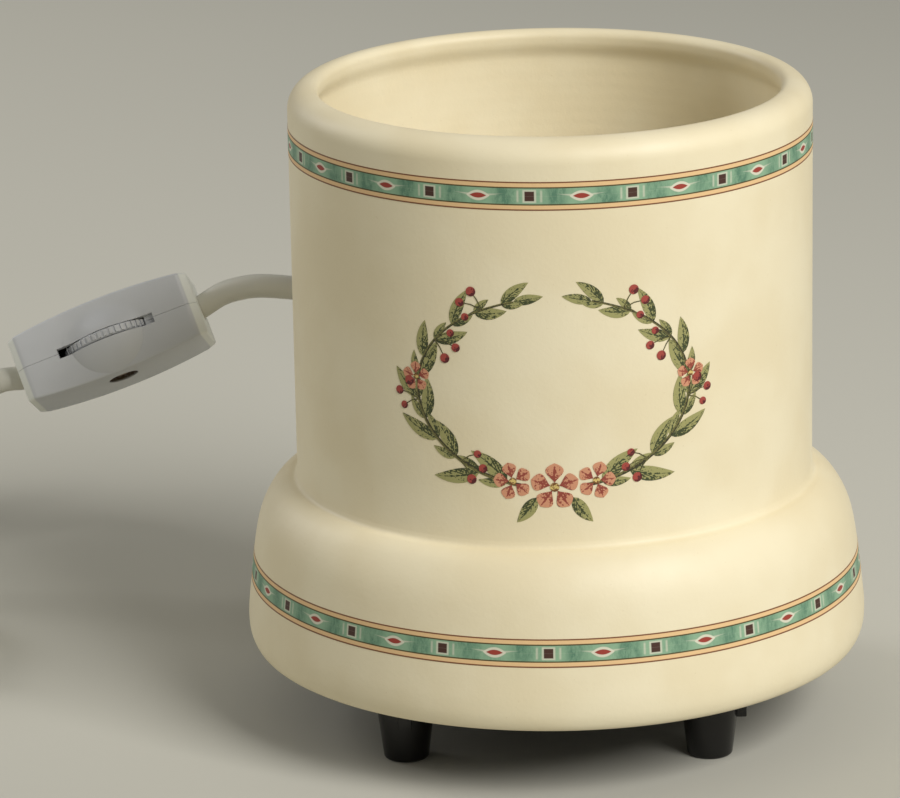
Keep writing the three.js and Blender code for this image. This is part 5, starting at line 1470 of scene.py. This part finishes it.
# %% Make the blades
def blade_mesh(side):
    low_x, high_x = PLUG_LONG - 4, PLUG_LONG + BLADE_LONG
    half_thick, half_wide = BLADE_THICK / 2, BLADE_WIDE / 2
    bm = bmesh.new()
    block = block_place((low_x, -half_thick, -half_wide), (high_x, half_thick, half_wide))
    bmesh.ops.create_cube(bm, size=1, matrix=block)
    slice_mesh(bm, [high_x - 2])
    for vert in bm.verts:
        if vert.co.x > high_x - 0.1:
            vert.co.z *= 0.7
            vert.co.y *= 0.6
    soften(bm, 0.22, steps=2, sharper_than=20)
    across = Matrix.Translation((high_x - 4.2, 0, 0)) @ Matrix.Rotation(rad(90), 4, "X")
    blade = cut_away(bm, [rod_tool(1.5, 8, across, 24)])
    move_mesh(blade, (0, side * BLADE_SPACING / 2, 0))
    return plug_place(blade)

blades = [
    finished(
        blade_mesh(side), "blade_" + name, brass, sharp=30, replaces=["plug_blade_" + name],
    )
    for name, side in (("left", -1), ("right", 1))
]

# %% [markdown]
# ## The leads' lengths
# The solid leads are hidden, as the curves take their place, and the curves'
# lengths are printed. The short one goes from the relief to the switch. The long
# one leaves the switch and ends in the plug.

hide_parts("lead_to_switch")
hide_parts("lead_from_switch", "lead_coil", "lead_to_plug")
length_of(to_switch) * MM
length_of(long_route) * MM
print("leads", round(length_of(to_switch), 1), "and", round(length_of(long_route), 1), "mm")

# %% [markdown]
# ## Floor and light
# The pot stands on a plain warm-grey floor. One large soft light stands to the
# right, in front and above, so the cylinder's left side falls into shade and a soft
# shadow lies to the left. A small light from the left and behind lifts that side's
# edge, and the world gives a low even fill. The floor's colour carries painted
# shade, which darkens it smoothly towards the viewer, the right and the back.

# %% Floor
def floor_finish():
    made = Finish("floor_paper", Roughness=0.9, Specular_IOR_Level=0.2)
    x, y, z = made.place()
    # Painted shade: the floor darkens towards the front, the back and the right, with a little
    # random tone
    front = 1 - y.ramp(-0.3, 0.2)
    back = y.ramp(0.3, 0.9)
    right = (x + y * 0.6).ramp(0.1, 1.0)
    shade = (front * 0.65 + back * 0.1 + right * 0.6 + made.noise(3, 2) * 0.1).least(1)
    made.colour(made.blend(shade, rgb(210, 208, 197), rgb(178, 177, 168)))
    return made

FLOOR_HALF = 4
bm = bmesh.new()
bmesh.ops.create_grid(bm, x_segments=1, y_segments=1, size=FLOOR_HALF)
floor_mesh = mesh_of(bm, "floor")
floor_mesh.materials.append(floor_finish().material)
floor = linked("floor", floor_mesh)
print("floor", 2 * FLOOR_HALF, "m across")

# %% Lights
def soft_light(name, place, target, size, watts, colour):
    data = bpy.data.lights.new(name, "AREA")
    data.shape = "RECTANGLE"
    data.size, data.size_y = size
    data.energy = watts
    data.color = colour
    light = linked(name, data)
    light.location = place
    light.rotation_euler = (Vector(target) - Vector(place)).to_track_quat("-Z", "Y").to_euler()
    print(name, "light", watts, "W")

soft_light("key", (1.32, -1.41, 1.6), (0, 0, 0.06), (1.2, 1.2), 53, (1, 0.985, 0.955))
soft_light("left_rim", (-1.5, 0.9, 0.9), (0, 0, 0.08), (0.6, 0.9), 9, (1, 0.99, 0.98))
world = bpy.data.worlds.new("studio")
world.use_nodes = True
sky = world.node_tree.nodes["Background"].inputs
sky["Color"].default_value = (*rgb(236, 234, 226), 1)
sky["Strength"].default_value = 0.25
bpy.context.scene.world = world
